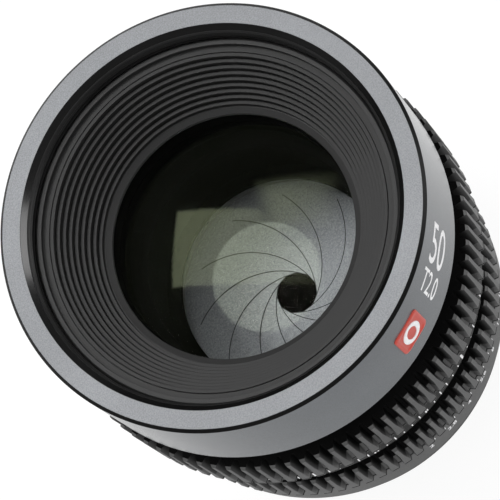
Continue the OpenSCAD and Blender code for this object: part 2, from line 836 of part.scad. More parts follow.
module focus_ring() {
    color([0.16, 0.16, 0.17])
        difference() {
            geared_blank(focus_bore_r, focus_root_r, focus_tip_r, neck_r, focus_ring_z,
                focus_band_h, focus_tooth_h, focus_nose_h);
            tooth_gaps(focus_teeth, focus_root_r, focus_tooth_z, focus_tooth_h);
            around(roller_count, roller_angle) {
                radial_bar(drive_screw_d / 2 + seat_fit, focus_bore_r - cut, focus_tip_r, 0, drive_screw_z);
                radial_bar(drive_head_d / 2 + seat_fit, focus_root_r - head_sink,
                    focus_tip_r, 0, drive_screw_z);
            }
        }
}

module focus_drive_screws() {
    socket_d = 1.2;
    head_r = focus_root_r - head_sink;
    color([0.30, 0.30, 0.31])
        around(roller_count, roller_angle)
            difference() {
                union() {
                    radial_bar(drive_screw_d / 2, sleeve_r + 1, head_r, 0, drive_screw_z);
                    radial_bar(drive_head_d / 2, head_r, focus_root_r - ring_gap, 0, drive_screw_z);
                }
                translate([focus_root_r - ring_gap - 0.6, 0, drive_screw_z])
                    rotate([0, 90, 0])
                        cylinder(d = socket_d, h = cut, $fn = 6);
            }
}

// Helical slot of one cam roller, cut through the sleeve wall
module cam_slot() {
    half_w = roller_d / 2 + 2 * running_fit;
    steps = 36;
    in_r = sleeve_bore_r - cut;
    out_r = sleeve_r + cut;
    lead = asin((roller_d / 2 + ring_gap) / sleeve_bore_r);
    span = focus_turn + 2 * lead;
    rise = carriage_travel / focus_turn;
    rings = [
        for (i = [0 : steps])
            let (a = lead - i * span / steps, z = roller_z - a * rise)
            each [
                [in_r * cos(a), in_r * sin(a), z - half_w], [out_r * cos(a), out_r * sin(a), z - half_w],
                [out_r * cos(a), out_r * sin(a), z + half_w], [in_r * cos(a), in_r * sin(a), z + half_w]
            ]
    ];
    sides = [
        for (i = [0 : steps - 1], j = [0 : 3])
            let (p = 4 * i + j, q = 4 * i + (j + 1) % 4)
            each [[p, q + 4, q], [p, p + 4, q + 4]]
    ];
    last = 4 * steps;
    ends = [[0, 1, 2], [0, 2, 3], [last, last + 2, last + 1], [last, last + 3, last + 2]];
    polyhedron(points = rings, faces = concat(sides, ends));
}

module cam_sleeve() {
    color([0.66, 0.52, 0.26])
        difference() {
            union() {
                translate([0, 0, sleeve_z])
                    cylinder(r = sleeve_r, h = sleeve_h);
                translate([0, 0, sleeve_z])
                    cylinder(r = focus_bore_r - seat_fit, h = sleeve_flange_h);
            }
            translate([0, 0, sleeve_z - cut])
                cylinder(r = sleeve_bore_r, h = sleeve_h + 2 * cut);
            around(roller_count, roller_angle) {
                cam_slot();
                radial_bar(drive_screw_d / 2 + seat_fit, sleeve_r + 1 - seat_fit,
                    focus_bore_r + cut, 0, drive_screw_z);
            }
        }
}

module focus_carriage() {
    color([0.14, 0.14, 0.15])
        difference() {
            translate([0, 0, carriage_z])
                cylinder(r = carriage_r, h = carriage_h);
            translate([0, 0, carriage_z + carriage_lip])
                cylinder(r = carriage_bore_r, h = carriage_h);
            translate([0, 0, carriage_z - cut])
                cylinder(r = carriage_clear_r, h = carriage_h);
            around(roller_count, roller_angle)
                radial_bar(roller_screw_d / 2 + seat_fit, carriage_bore_r + 1, carriage_r + cut, 0, roller_z);
        }
}

module cam_rollers() {
    color([0.80, 0.70, 0.42])
        around(roller_count, roller_angle)
            difference() {
                radial_bar(roller_d / 2, spine_bore_d / 2 + running_fit, sleeve_r - ring_gap, 0, roller_z);
                radial_bar(roller_screw_d / 2 + seat_fit, spine_bore_d / 2 - cut, sleeve_r + cut, 0, roller_z);
            }
}

module roller_screws() {
    head_t = 0.5;
    head_z = sleeve_r - ring_gap;
    color([0.50, 0.50, 0.52])
        around(roller_count, roller_angle) {
            radial_bar(roller_screw_d / 2, carriage_bore_r + 1, head_z, 0, roller_z);
            radial_bar(roller_d / 2 - running_fit, head_z, head_z + head_t, 0, roller_z);
        }
}

// Focus glass counted from the rear of the carriage
module focus_glass(i, front, rear) {
    room = carriage_h - carriage_lip - retaining_t - 0.6;
    pitch = room / 3;
    glass(carriage_bore_r - seat_fit, carriage_z + carriage_lip + i * pitch, pitch - 0.4, front, rear);
}

module element_3() {
    focus_glass(2, strong_crown_r, -weak_crown_r);
}

module element_4() {
    focus_glass(1, 0, -strong_crown_r);
}

module element_5() {
    focus_glass(0, strong_crown_r, -weak_crown_r);
}

module carriage_retaining_ring() {
    color([0.10, 0.10, 0.11])
        ring(carriage_clear_r + 1, carriage_bore_r - seat_fit,
            carriage_z + carriage_h - retaining_t, retaining_t);
}

module iris_ring() {
    color([0.16, 0.16, 0.17])
        difference() {
            geared_blank(iris_bore_r, iris_band_r, iris_tip_r, iris_root_r, iris_ring_z,
                iris_band_h, iris_tooth_h, iris_nose_h);
            tooth_gaps(iris_teeth, iris_root_r, iris_tooth_z, iris_tooth_h);
            radial_bar(iris_key_d / 2 + seat_fit, iris_bore_r - cut, iris_key_end + seat_fit, key_angle, key_z);
        }
}

module iris_drive_key() {
    color([0.60, 0.61, 0.63])
        radial_bar(iris_key_d / 2, cam_ring_r - 1.2, iris_key_end, key_angle, key_z);
}

module iris_cam_ring() {
    slot_steps = 18;
    swing_step = (blade_swing + 2) / slot_steps;
    swings = [for (i = [0 : slot_steps]) -1 + i * swing_step];
    outline = concat(
        [for (s = swings) slot_side(s, 1)],
        [for (i = [slot_steps : -1 : 0]) slot_side(swings[i], -1)]);
    color([0.30, 0.30, 0.32])
        difference() {
            ring(cam_ring_r - cam_ring_w, cam_ring_r, cam_ring_z, cam_ring_t);
            around(blade_count, 0)
                translate([0, 0, cam_ring_z - cut])
                    linear_extrude(cam_ring_t + 2 * cut)
                        polygon(outline);
            radial_bar(iris_key_d / 2 + seat_fit, cam_ring_r - 1.2 - seat_fit,
                cam_ring_r + cut, key_angle, key_z);
        }
}

// Outline of one blade, fully open
module blade_outline() {
    far_r = 2 * blade_outer_r;
    fan = (blade_lead + blade_reach) / 8;
    pin = arm_point(0);
    intersection() {
        difference() {
            circle(r = blade_outer_r);
            circle(r = blade_inner_r);
        }
        polygon(concat(
            [[0, 0]],
            [for (i = [0 : 8]) far_r * [cos(i * fan - blade_reach), sin(i * fan - blade_reach)]]));
    }
    translate([pivot_circle_r, 0])
        circle(r = blade_ear_r, $fn = 32);
    translate([blade_outer_r - 1, -blade_tail_r])
        square([pivot_circle_r - blade_outer_r + 1, 2 * blade_tail_r]);
    translate([pivot_circle_r, 0])
        rotate([0, 0, 90 - arm_start])
            translate([0, -blade_tail_r])
                square([drive_arm, 2 * blade_tail_r]);
    translate(pin)
        circle(r = blade_tail_r, $fn = 32);
}

module iris_blade(i) {
    z = blade_z + i * blade_step;
    pin = arm_point(0);
    pin_top = cam_ring_z + cam_ring_t - 0.2;
    pin_foot = base_plate_z + 0.2;
    color([0.42, 0.42, 0.44])
        rotate([0, 0, i * blade_pitch])
            translate([pivot_circle_r, 0, 0])
                rotate([0, 0, -blade_shown])
                    translate([-pivot_circle_r, 0, 0]) {
                        translate([0, 0, z])
                            linear_extrude(blade_t)
                                blade_outline();
                        translate([pivot_circle_r, 0, pin_foot])
                            cylinder(r = pivot_pin_r, h = z + blade_t - pin_foot, $fn = 32);
                        translate([pin[0], pin[1], z])
                            cylinder(r = drive_pin_r, h = pin_top - z, $fn = 32);
                    }
}

front_barrel();
filter_ring();
front_baffle();
front_retaining_ring();
badge_plate();
front_cell();
element_1();
element_2();
front_spacer_ring();
neck_ring();
barrel_grub_screws();
guide_barrel();
index_ring();
iris_bushes();
iris_cover();
iris_base_plate();
rear_cell();
cell_lock_ring();
element_6();
element_7();
element_8();
element_9();
element_10();
rear_retaining_ring();
rear_barrel();
mount_shim();
mount_flange();
mount_screws();
mount_index_dot();
rear_baffle();
focus_ring();
cam_sleeve();
focus_drive_screws();
focus_carriage();
cam_rollers();
roller_screws();
element_3();
element_4();
element_5();
carriage_retaining_ring();
iris_ring();
iris_drive_key();
iris_cam_ring();
iris_blade(0);  // iris_blade_01
iris_blade(1);  // iris_blade_02
iris_blade(2);  // iris_blade_03
iris_blade(3);  // iris_blade_04
iris_blade(4);  // iris_blade_05
iris_blade(5);  // iris_blade_06
iris_blade(6);  // iris_blade_07
iris_blade(7);  // iris_blade_08
iris_blade(8);  // iris_blade_09
iris_blade(9);  // iris_blade_10
iris_blade(10);  // iris_blade_11
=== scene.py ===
"""Looks of a cinema prime lens, dressed over its packed construction."""
import math

import bmesh
import bpy
from mathutils import Matrix, Vector


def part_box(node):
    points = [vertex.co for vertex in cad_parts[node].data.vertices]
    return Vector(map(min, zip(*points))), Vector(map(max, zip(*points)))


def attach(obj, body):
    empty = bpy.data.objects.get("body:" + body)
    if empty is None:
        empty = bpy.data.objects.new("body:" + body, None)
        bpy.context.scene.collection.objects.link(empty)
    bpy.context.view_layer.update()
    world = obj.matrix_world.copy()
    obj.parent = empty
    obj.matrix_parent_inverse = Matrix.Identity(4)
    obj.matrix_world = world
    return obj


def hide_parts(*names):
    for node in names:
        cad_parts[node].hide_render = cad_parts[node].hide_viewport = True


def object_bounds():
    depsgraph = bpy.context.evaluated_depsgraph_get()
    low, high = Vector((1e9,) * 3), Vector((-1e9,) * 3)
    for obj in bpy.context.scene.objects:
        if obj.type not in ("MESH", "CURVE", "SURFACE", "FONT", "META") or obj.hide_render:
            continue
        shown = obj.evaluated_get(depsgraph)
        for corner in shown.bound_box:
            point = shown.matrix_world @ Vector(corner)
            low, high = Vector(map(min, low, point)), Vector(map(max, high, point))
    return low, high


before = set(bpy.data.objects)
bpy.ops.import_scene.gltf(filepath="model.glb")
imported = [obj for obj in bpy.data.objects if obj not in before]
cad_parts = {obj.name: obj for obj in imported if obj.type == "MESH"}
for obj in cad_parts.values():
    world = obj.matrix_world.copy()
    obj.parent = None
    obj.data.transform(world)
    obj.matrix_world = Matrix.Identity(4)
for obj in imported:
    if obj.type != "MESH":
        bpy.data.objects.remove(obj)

cad_low, cad_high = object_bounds()

MM = 0.001
SIDES = 256
PI = math.pi


def span(node):
    """Outer radius, lowest and highest z of a CAD node, in millimetres."""
    low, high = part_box(node)
    return max(high.x, high.y, -low.x, -low.y) / MM, low.z / MM, high.z / MM


# Driving sizes, read from the construction, in millimetres
FRONT_R, FRONT_Z, FACE_Z = span("front_barrel")
NECK_R, _, NECK_TOP = span("neck_ring")
FOCUS_TIP_R, FOCUS_Z, FOCUS_TOP = span("focus_ring")
INDEX_R, INDEX_Z, INDEX_SPIGOT = span("index_ring")
IRIS_TIP_R, IRIS_Z, IRIS_TOP = span("iris_ring")
REAR_R, REAR_Z, REAR_TOP = span("rear_barrel")
FLANGE_R = span("mount_flange")[0]
RIM_R, CONE_LOW_Z, RIM_Z = span("front_baffle")

# Sizes that several pieces share, in millimetres
EDGE_BREAK = 0.4
SLEEVE_BORE_R = 28.22
SPIGOT_R, SPIGOT_IN_R = 31.55, 28.7
PAINT_T = 0.02
# Slack when a face's place is tested against an edge
SLACK = 0.01


# Materials

COOL = (0.97, 1.0, 1.05)
GRAIN_SCALE, CLOUD_SCALE, TURNING_SCALE = 5200, 60, 9000
GRAIN_HEIGHT, TURNING_HEIGHT = 0.00003, 0.00002


def new_material(name):
    """A material with its Principled shader, ready for nodes."""
    material = bpy.data.materials.new(name)
    material.use_nodes = True
    shader = material.node_tree.nodes["Principled BSDF"]
    return material, material.node_tree, shader


def bare_material(name):
    """A material with an empty tree and its output, for shaders other than Principled."""
    material = bpy.data.materials.new(name)
    material.use_nodes = True
    tree = material.node_tree
    tree.nodes.clear()
    return material, tree, tree.nodes.new("ShaderNodeOutputMaterial")


def object_noise(tree, scale, detail, stretch=(1, 1, 1)):
    """Noise over Object coordinates, stretched along the axes."""
    coords = tree.nodes.new("ShaderNodeTexCoord")
    mapping = tree.nodes.new("ShaderNodeMapping")
    mapping.inputs["Scale"].default_value = stretch
    noise = tree.nodes.new("ShaderNodeTexNoise")
    noise.inputs["Scale"].default_value = scale
    noise.inputs["Detail"].default_value = detail
    tree.links.new(coords.outputs["Object"], mapping.inputs["Vector"])
    tree.links.new(mapping.outputs["Vector"], noise.inputs["Vector"])
    return noise.outputs["Fac"]


def ramp(tree, source, stops):
    """Colour ramp between two (place, colour) stops."""
    node = tree.nodes.new("ShaderNodeValToRGB")
    for element, (place, colour) in zip(node.color_ramp.elements, stops):
        element.position = place
        element.color = (*colour, 1)
    tree.links.new(source, node.inputs["Fac"])
    return node.outputs["Color"]


def fine_bump(tree, shader, source, strength, distance):
    """Bump of a height source on the shader's normal."""
    bump = tree.nodes.new("ShaderNodeBump")
    bump.inputs["Strength"].default_value = strength
    bump.inputs["Distance"].default_value = distance
    tree.links.new(source, bump.inputs["Height"])
    tree.links.new(bump.outputs["Normal"], shader.inputs["Normal"])


def multiplied(tree, first, second):
    """Colour product of two sources."""
    mix = tree.nodes.new("ShaderNodeMix")
    mix.data_type = "RGBA"
    mix.blend_type = "MULTIPLY"
    mix.inputs["Factor"].default_value = 1.0
    tree.links.new(first, mix.inputs["A"])
    tree.links.new(second, mix.inputs["B"])
    return mix.outputs["Result"]


def grey(value, tint=(1, 1, 1)):
    """Grey of a level, leaned towards a tint."""
    return tuple(value * t for t in tint)


def blasted_metal(name, low, high, rough, metallic, bump=0.12, tint=(1, 1, 1), coat=0.0, grain_mix=0.0,
                  shine=0.5):
    """Bead-blasted and anodised metal: fine grain in colour, roughness and height."""
    material, tree, shader = new_material(name)
    noise = object_noise(tree, GRAIN_SCALE, 2.0)
    cloud = object_noise(tree, CLOUD_SCALE, 2.0)
    colour = ramp(tree, cloud, [(0.3, grey(low, tint)), (0.7, grey(high, tint))])
    if grain_mix:
        speckle = ramp(tree, noise, [(0.32, grey(1 - grain_mix)), (0.68, grey(1 + grain_mix))])
        colour = multiplied(tree, colour, speckle)
    roughness = ramp(tree, noise, [(0.3, grey(rough - 0.05)), (0.7, grey(rough + 0.05))])
    tree.links.new(colour, shader.inputs["Base Color"])
    tree.links.new(roughness, shader.inputs["Roughness"])
    shader.inputs["Metallic"].default_value = metallic
    shader.inputs["Specular IOR Level"].default_value = shine
    shader.inputs["Coat Weight"].default_value = coat
    shader.inputs["Coat Roughness"].default_value = 0.2
    fine_bump(tree, shader, noise, bump, GRAIN_HEIGHT)
    return material


def turned_metal(name, low, high, rough, metallic, tint=(1, 1, 1)):
    """Lathe-turned metal, with fine rings that follow the radius and the height."""
    material, tree, shader = new_material(name)
    coords = tree.nodes.new("ShaderNodeTexCoord")
    split = tree.nodes.new("ShaderNodeSeparateXYZ")
    flat = tree.nodes.new("ShaderNodeCombineXYZ")
    length = tree.nodes.new("ShaderNodeVectorMath")
    length.operation = "LENGTH"
    total = tree.nodes.new("ShaderNodeMath")
    total.operation = "ADD"
    place = tree.nodes.new("ShaderNodeCombineXYZ")
    noise = tree.nodes.new("ShaderNodeTexNoise")
    noise.inputs["Scale"].default_value = TURNING_SCALE
    noise.inputs["Detail"].default_value = 1.0
    links = tree.links
    links.new(coords.outputs["Object"], split.inputs["Vector"])
    links.new(split.outputs["X"], flat.inputs["X"])
    links.new(split.outputs["Y"], flat.inputs["Y"])
    links.new(flat.outputs["Vector"], length.inputs[0])
    links.new(length.outputs["Value"], total.inputs[0])
    links.new(split.outputs["Z"], total.inputs[1])
    links.new(total.outputs["Value"], place.inputs["X"])
    links.new(place.outputs["Vector"], noise.inputs["Vector"])
    colour = ramp(tree, noise.outputs["Fac"], [(0.3, grey(low, tint)), (0.7, grey(high, tint))])
    roughness = ramp(tree, noise.outputs["Fac"], [(0.3, grey(rough - 0.06)), (0.7, grey(rough + 0.06))])
    links.new(colour, shader.inputs["Base Color"])
    links.new(roughness, shader.inputs["Roughness"])
    shader.inputs["Metallic"].default_value = metallic
    fine_bump(tree, shader, noise.outputs["Fac"], 0.15, TURNING_HEIGHT)
    return material


def blade_metal(name):
    """Grey rolled steel with a fine mottle."""
    mottle_scale, streak_scale = 3400, 900
    material, tree, shader = new_material(name)
    noise = object_noise(tree, mottle_scale, 3.0)
    streak = object_noise(tree, streak_scale, 2.0, (1, 0.2, 1))
    colour = ramp(tree, noise, [(0.32, grey(0.31, COOL)), (0.68, grey(0.49, COOL))])
    roughness = ramp(tree, streak, [(0.3, grey(0.50)), (0.7, grey(0.62))])
    tree.links.new(colour, shader.inputs["Base Color"])
    tree.links.new(roughness, shader.inputs["Roughness"])
    shader.inputs["Metallic"].default_value = 0.35
    fine_bump(tree, shader, noise, 0.2, TURNING_HEIGHT)
    return material


def shaded_tooth_side(name, root_r, tip_r):
    """Anodised side of a tooth with painted shade, paler towards the tip and black at the root where little
    light reaches.
    """
    material, tree, shader = new_material(name)
    coords = tree.nodes.new("ShaderNodeTexCoord")
    flat = tree.nodes.new("ShaderNodeVectorMath")
    flat.operation = "MULTIPLY"
    flat.inputs[1].default_value = (1, 1, 0)
    radius = tree.nodes.new("ShaderNodeVectorMath")
    radius.operation = "LENGTH"
    height = tree.nodes.new("ShaderNodeMapRange")
    height.inputs["From Min"].default_value = root_r * MM
    height.inputs["From Max"].default_value = tip_r * MM
    tree.links.new(coords.outputs["Object"], flat.inputs[0])
    tree.links.new(flat.outputs["Vector"], radius.inputs[0])
    tree.links.new(radius.outputs["Value"], height.inputs["Value"])
    noise = object_noise(tree, GRAIN_SCALE, 2.0)
    # Painted shade: the side darkens from its tip down to the root.
    colour = ramp(tree, height.outputs["Result"], [(0.45, grey(0.005)), (1.0, grey(0.06))])
    roughness = ramp(tree, noise, [(0.3, grey(0.45)), (0.7, grey(0.55))])
    tree.links.new(colour, shader.inputs["Base Color"])
    tree.links.new(roughness, shader.inputs["Roughness"])
    shader.inputs["Specular IOR Level"].default_value = 0.15
    fine_bump(tree, shader, noise, 0.12, GRAIN_HEIGHT)
    return material


def paint(name, colour, rough):
    """Filled engraving paint, slightly uneven."""
    patch_scale = 1500
    material, tree, shader = new_material(name)
    noise = object_noise(tree, patch_scale, 2.0)
    shade = ramp(tree, noise, [(0.3, grey(0.88, colour)), (0.7, colour)])
    tree.links.new(shade, shader.inputs["Base Color"])
    shader.inputs["Roughness"].default_value = rough
    return material


def coated_glass(name, body_tint, coat_tint, least, most):
    """Clear glass whose coating mirrors a tinted share of the light, more at grazing angles."""
    material, tree, output = bare_material(name)
    clear = tree.nodes.new("ShaderNodeBsdfTransparent")
    clear.inputs["Color"].default_value = (*body_tint, 1)
    mirror = tree.nodes.new("ShaderNodeBsdfGlossy")
    mirror.inputs["Color"].default_value = (*coat_tint, 1)
    mirror.inputs["Roughness"].default_value = 0.03
    graze = tree.nodes.new("ShaderNodeLayerWeight")
    graze.inputs["Blend"].default_value = 0.35
    share = tree.nodes.new("ShaderNodeMapRange")
    share.inputs["To Min"].default_value = least
    share.inputs["To Max"].default_value = most
    mix = tree.nodes.new("ShaderNodeMixShader")
    tree.links.new(graze.outputs["Facing"], share.inputs["Value"])
    tree.links.new(share.outputs["Result"], mix.inputs["Fac"])
    tree.links.new(clear.outputs["BSDF"], mix.inputs[1])
    tree.links.new(mirror.outputs["BSDF"], mix.inputs[2])
    tree.links.new(mix.outputs["Shader"], output.inputs["Surface"])
    return material


grey_face = blasted_metal("grey_face", 0.255, 0.295, 0.40, 0.2, bump=0.35, tint=COOL, grain_mix=0.2)
grey_side = blasted_metal("grey_side", 0.118, 0.132, 0.17, 0.0, bump=0.08, tint=(0.93, 1.0, 1.08),
                          grain_mix=0.12)
# Black of the front shell's outer chamfer; on the neck its depth is painted shade under the barrel.
black_edge_and_shade = blasted_metal("black_edge_and_shade", 0.006, 0.009, 0.3, 0.0, bump=0.02, shine=0.12)
mouth_black = blasted_metal("mouth_black", 0.006, 0.009, 0.16, 0.2, bump=0.02, coat=0.6)
black_anodised = blasted_metal("black_anodised", 0.014, 0.020, 0.42, 0.2)
lock_black = turned_metal("lock_black", 0.039, 0.049, 0.45, 0.2)
trap_black = turned_metal("trap_black", 0.023, 0.030, 0.42, 0.25)
# Black of the gear lands and the iris band; on the index collar's edge breaks it is a painted highlight.
ring_black_and_highlight = blasted_metal("ring_black_and_highlight", 0.075, 0.095, 0.42, 0.0, shine=0.4)
band_black = blasted_metal("band_black", 0.014, 0.019, 0.5, 0.0, shine=0.2)
# Painted shade: near-black for gear gaps, groove, front faces and nose, and the index collar's band.
painted_shade_black = blasted_metal("painted_shade_black", 0.005, 0.008, 0.6, 0.0, shine=0.0)
cover_grey = blasted_metal("cover_grey", 0.20, 0.26, 0.6, 0.2, shine=0.1)
deep_black = blasted_metal("deep_black", 0.004, 0.007, 0.6, 0.0, shine=0.0)
mount_metal = turned_metal("mount_metal", 0.55, 0.66, 0.24, 1.0)
bronze = turned_metal("bronze", 0.42, 0.56, 0.3, 1.0, (1.0, 0.72, 0.38))
screw_black = blasted_metal("screw_black", 0.02, 0.03, 0.3, 0.7)
blade_grey = blade_metal("blade_grey")
# Painted shade: the dark inner rim of each blade stands for the shadow line where it lies over the next.
blade_edge = blasted_metal("blade_edge", 0.012, 0.018, 0.5, 0.2)
white_paint = paint("white_paint", (0.92, 0.92, 0.93), 0.5)
red_paint = paint("red_paint", (0.60, 0.072, 0.05), 0.32)
green_coat = coated_glass("green_coat", (0.994, 0.996, 0.994), (0.88, 1.0, 0.62), 0.013, 0.12)
magenta_coat = coated_glass("magenta_coat", (0.994, 0.994, 0.994), (1.0, 0.74, 0.88), 0.0003, 0.02)
faint_coat = coated_glass("faint_coat", (0.994, 0.996, 0.994), (0.90, 1.0, 0.80), 0.0, 0.008)
clear_glass = coated_glass("clear_glass", (0.996, 0.997, 0.996), (1.0, 1.0, 1.0), 0.0, 0.002)
# Painted shade: the glass behind the iris is tinted dark, so the view through it stays dark.
inner_glass_shaded = coated_glass("inner_glass_shaded", (0.60, 0.63, 0.60), (0.60, 0.80, 0.62), 0.0, 0.001)


# Shape helpers

def piece(name, mesh, body, materials, stands_for=(), smooth=35):
    """A finished object at the origin that rides on a body."""
    obj = bpy.data.objects.new(name, mesh)
    bpy.context.scene.collection.objects.link(obj)
    if not mesh.materials:
        for material in materials:
            mesh.materials.append(material)
    mesh.shade_smooth()
    mesh.set_sharp_from_angle(angle=math.radians(smooth))
    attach(obj, body)
    if stands_for:
        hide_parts(*stands_for)
    return obj


def softened(outline, radius):
    """The closed outline with each corner cut to a small round, and the flats beside it kept crisp."""
    points = []
    count = len(outline)
    for i, (r, z) in enumerate(outline):
        here = Vector((r, z))
        back = Vector(outline[i - 1]) - here
        ahead = Vector(outline[(i + 1) % count]) - here
        straight = back.normalized().dot(ahead.normalized()) < -0.995
        if straight or r < 1e-6:
            points.append((r, z))
            continue
        cut = min(radius, 0.3 * back.length, 0.3 * ahead.length)
        start = here + back.normalized() * cut
        end = here + ahead.normalized() * cut
        middle = 0.25 * start + 0.5 * here + 0.25 * end
        before = here + back.normalized() * 1.4 * cut
        after = here + ahead.normalized() * 1.4 * cut
        points += [tuple(before), tuple(start), tuple(middle), tuple(end), tuple(after)]
    return points


def clean_mesh(name, verts, faces):
    """Mesh in metres from points in millimetres, with doubles merged and faces outward."""
    shape = bmesh.new()
    made = [shape.verts.new(Vector(v) * MM) for v in verts]
    for face in faces:
        shape.faces.new([made[i] for i in face])
    bmesh.ops.remove_doubles(shape, verts=shape.verts, dist=1e-7)
    bmesh.ops.dissolve_degenerate(shape, edges=shape.edges, dist=1e-8)
    bmesh.ops.recalc_face_normals(shape, faces=shape.faces)
    mesh = bpy.data.meshes.new(name)
    shape.to_mesh(mesh)
    shape.free()
    return mesh


def ring_faces(count, sides):
    """Faces between neighbouring outlines of count points each, set round the axis and closed."""
    faces = []
    for s in range(sides):
        here = s * count
        there = (s + 1) % sides * count
        for i in range(count):
            j = (i + 1) % count
            faces.append((here + i, there + i, there + j, here + j))
    return faces


def turned_mesh(name, outline, corner, sides=SIDES):
    """Ring or disc turned from a closed outline of (radius, z) points."""
    points = softened(outline, corner) if corner else list(outline)
    verts = []
    for s in range(sides):
        a = 2 * PI * s / sides
        verts += [(r * math.cos(a), r * math.sin(a), z) for r, z in points]
    return clean_mesh(name, verts, ring_faces(len(points), sides))


def turned(name, outline, body, material, stands_for, corner):
    """A turned piece in one finish."""
    return piece(name, turned_mesh(name, outline, corner), body, [material], stands_for)


def copies_tree():
    """Geometry nodes that set copies of a mesh round the axis and weld them."""
    tree = bpy.data.node_groups.new("copies_round_axis", "GeometryNodeTree")
    sockets = {}
    for label, kind in (("Sector", "Geometry"), ("Count", "Int"), ("First", "Float"), ("Step", "Float"),
                        ("Finish", "Material")):
        made = tree.interface.new_socket(label, in_out="INPUT", socket_type="NodeSocket" + kind)
        sockets[label] = made.identifier
    tree.interface.new_socket("Ring", in_out="OUTPUT", socket_type="NodeSocketGeometry")
    nodes, links = tree.nodes, tree.links
    given = nodes.new("NodeGroupInput")
    result = nodes.new("NodeGroupOutput")
    points = nodes.new("GeometryNodePoints")
    index = nodes.new("GeometryNodeInputIndex")
    turn = nodes.new("ShaderNodeMath")
    turn.operation = "MULTIPLY_ADD"
    euler = nodes.new("ShaderNodeCombineXYZ")
    rotation = nodes.new("FunctionNodeEulerToRotation")
    place = nodes.new("GeometryNodeInstanceOnPoints")
    realize = nodes.new("GeometryNodeRealizeInstances")
    weld = nodes.new("GeometryNodeMergeByDistance")
    weld.inputs["Distance"].default_value = 2e-7
    finish = nodes.new("GeometryNodeSetMaterial")
    links.new(given.outputs["Count"], points.inputs["Count"])
    links.new(index.outputs["Index"], turn.inputs[0])
    links.new(given.outputs["Step"], turn.inputs[1])
    links.new(given.outputs["First"], turn.inputs[2])
    links.new(turn.outputs["Value"], euler.inputs["Z"])
    links.new(euler.outputs["Vector"], rotation.inputs["Euler"])
    links.new(points.outputs["Points"], place.inputs["Points"])
    links.new(given.outputs["Sector"], place.inputs["Instance"])
    links.new(rotation.outputs["Rotation"], place.inputs["Rotation"])
    links.new(place.outputs["Instances"], realize.inputs["Geometry"])
    links.new(realize.outputs["Geometry"], weld.inputs["Geometry"])
    links.new(weld.outputs["Geometry"], finish.inputs["Geometry"])
    links.new(given.outputs["Finish"], finish.inputs["Material"])
    links.new(finish.outputs["Geometry"], result.inputs["Ring"])
    return tree, sockets


COPIES, COPIES_INPUT = copies_tree()


def copied_round(name, mesh, count, material, first=0.0, step=None):
    """Plain mesh of count copies of a sector mesh, set round the axis by geometry nodes."""
    holder = bpy.data.objects.new(name + "_sector", mesh)
    bpy.context.scene.collection.objects.link(holder)
    nodes = holder.modifiers.new("copies", "NODES")
    nodes.node_group = COPIES
    nodes[COPIES_INPUT["Count"]] = count
    nodes[COPIES_INPUT["First"]] = math.radians(first)
    nodes[COPIES_INPUT["Step"]] = math.radians(step if step else 360 / count)
    nodes[COPIES_INPUT["Finish"]] = material
    depsgraph = bpy.context.evaluated_depsgraph_get()
    made = bpy.data.meshes.new_from_object(holder.evaluated_get(depsgraph))
    bpy.data.objects.remove(holder)
    made.name = name
    return made


def joined(name, meshes):
    """One mesh of several, with their materials kept."""
    shape = bmesh.new()
    materials = []
    for mesh in meshes:
        offset = len(materials)
        first = len(shape.faces)
        shape.from_mesh(mesh)
        shape.faces.ensure_lookup_table()
        for face in shape.faces[first:]:
            face.material_index += offset
        materials += list(mesh.materials)
    mesh = bpy.data.meshes.new(name)
    shape.to_mesh(mesh)
    shape.free()
    for material in materials:
        mesh.materials.append(material)
    return mesh


def lettering(text, height, radius, z, angle, along_axis=False, bold=0.012):
    """Closed mesh of painted characters wrapped on a cylinder, centred at an angle and a height."""
    curve = bpy.data.curves.new("lettering", "FONT")
    curve.body = text
    curve.size = 1.0
    curve.align_x = "CENTER"
    curve.align_y = "CENTER"
    curve.resolution_u = 4
    curve.offset = bold
    curve.extrude = PAINT_T
    holder = bpy.data.objects.new("lettering", curve)
    bpy.context.scene.collection.objects.link(holder)
    depsgraph = bpy.context.evaluated_depsgraph_get()
    flat = bpy.data.meshes.new_from_object(holder.evaluated_get(depsgraph))
    bpy.data.objects.remove(holder)
    shape = bmesh.new()
    shape.from_mesh(flat)
    bmesh.ops.remove_doubles(shape, verts=shape.verts, dist=1e-6)
    across = Vector((0, 1, 0)) if along_axis else Vector((1, 0, 0))
    reach = max(abs(v.co.dot(across)) for v in shape.verts)
    longest_flat = 0.5
    cuts = max(2, int(2 * reach * height / longest_flat))
    for i in range(1, cuts):
        place = -reach + 2 * reach * i / cuts
        everything = list(shape.verts) + list(shape.edges) + list(shape.faces)
        bmesh.ops.bisect_plane(shape, geom=everything, plane_co=across * place, plane_no=across)
    cap_height = 0.7
    size = height / cap_height
    for v in shape.verts:
        x, y = v.co.x * size, v.co.y * size
        lift = radius + (PAINT_T if v.co.z > 0 else -PAINT_T)
        turn = math.radians(angle) + (y if along_axis else x) / radius
        up = z - x if along_axis else z + y
        v.co = Vector((lift * math.cos(turn), lift * math.sin(turn), up)) * MM
    bmesh.ops.recalc_face_normals(shape, faces=shape.faces)
    mesh = bpy.data.meshes.new("lettering")
    shape.to_mesh(mesh)
    shape.free()
    mesh.materials.append(white_paint)
    return mesh


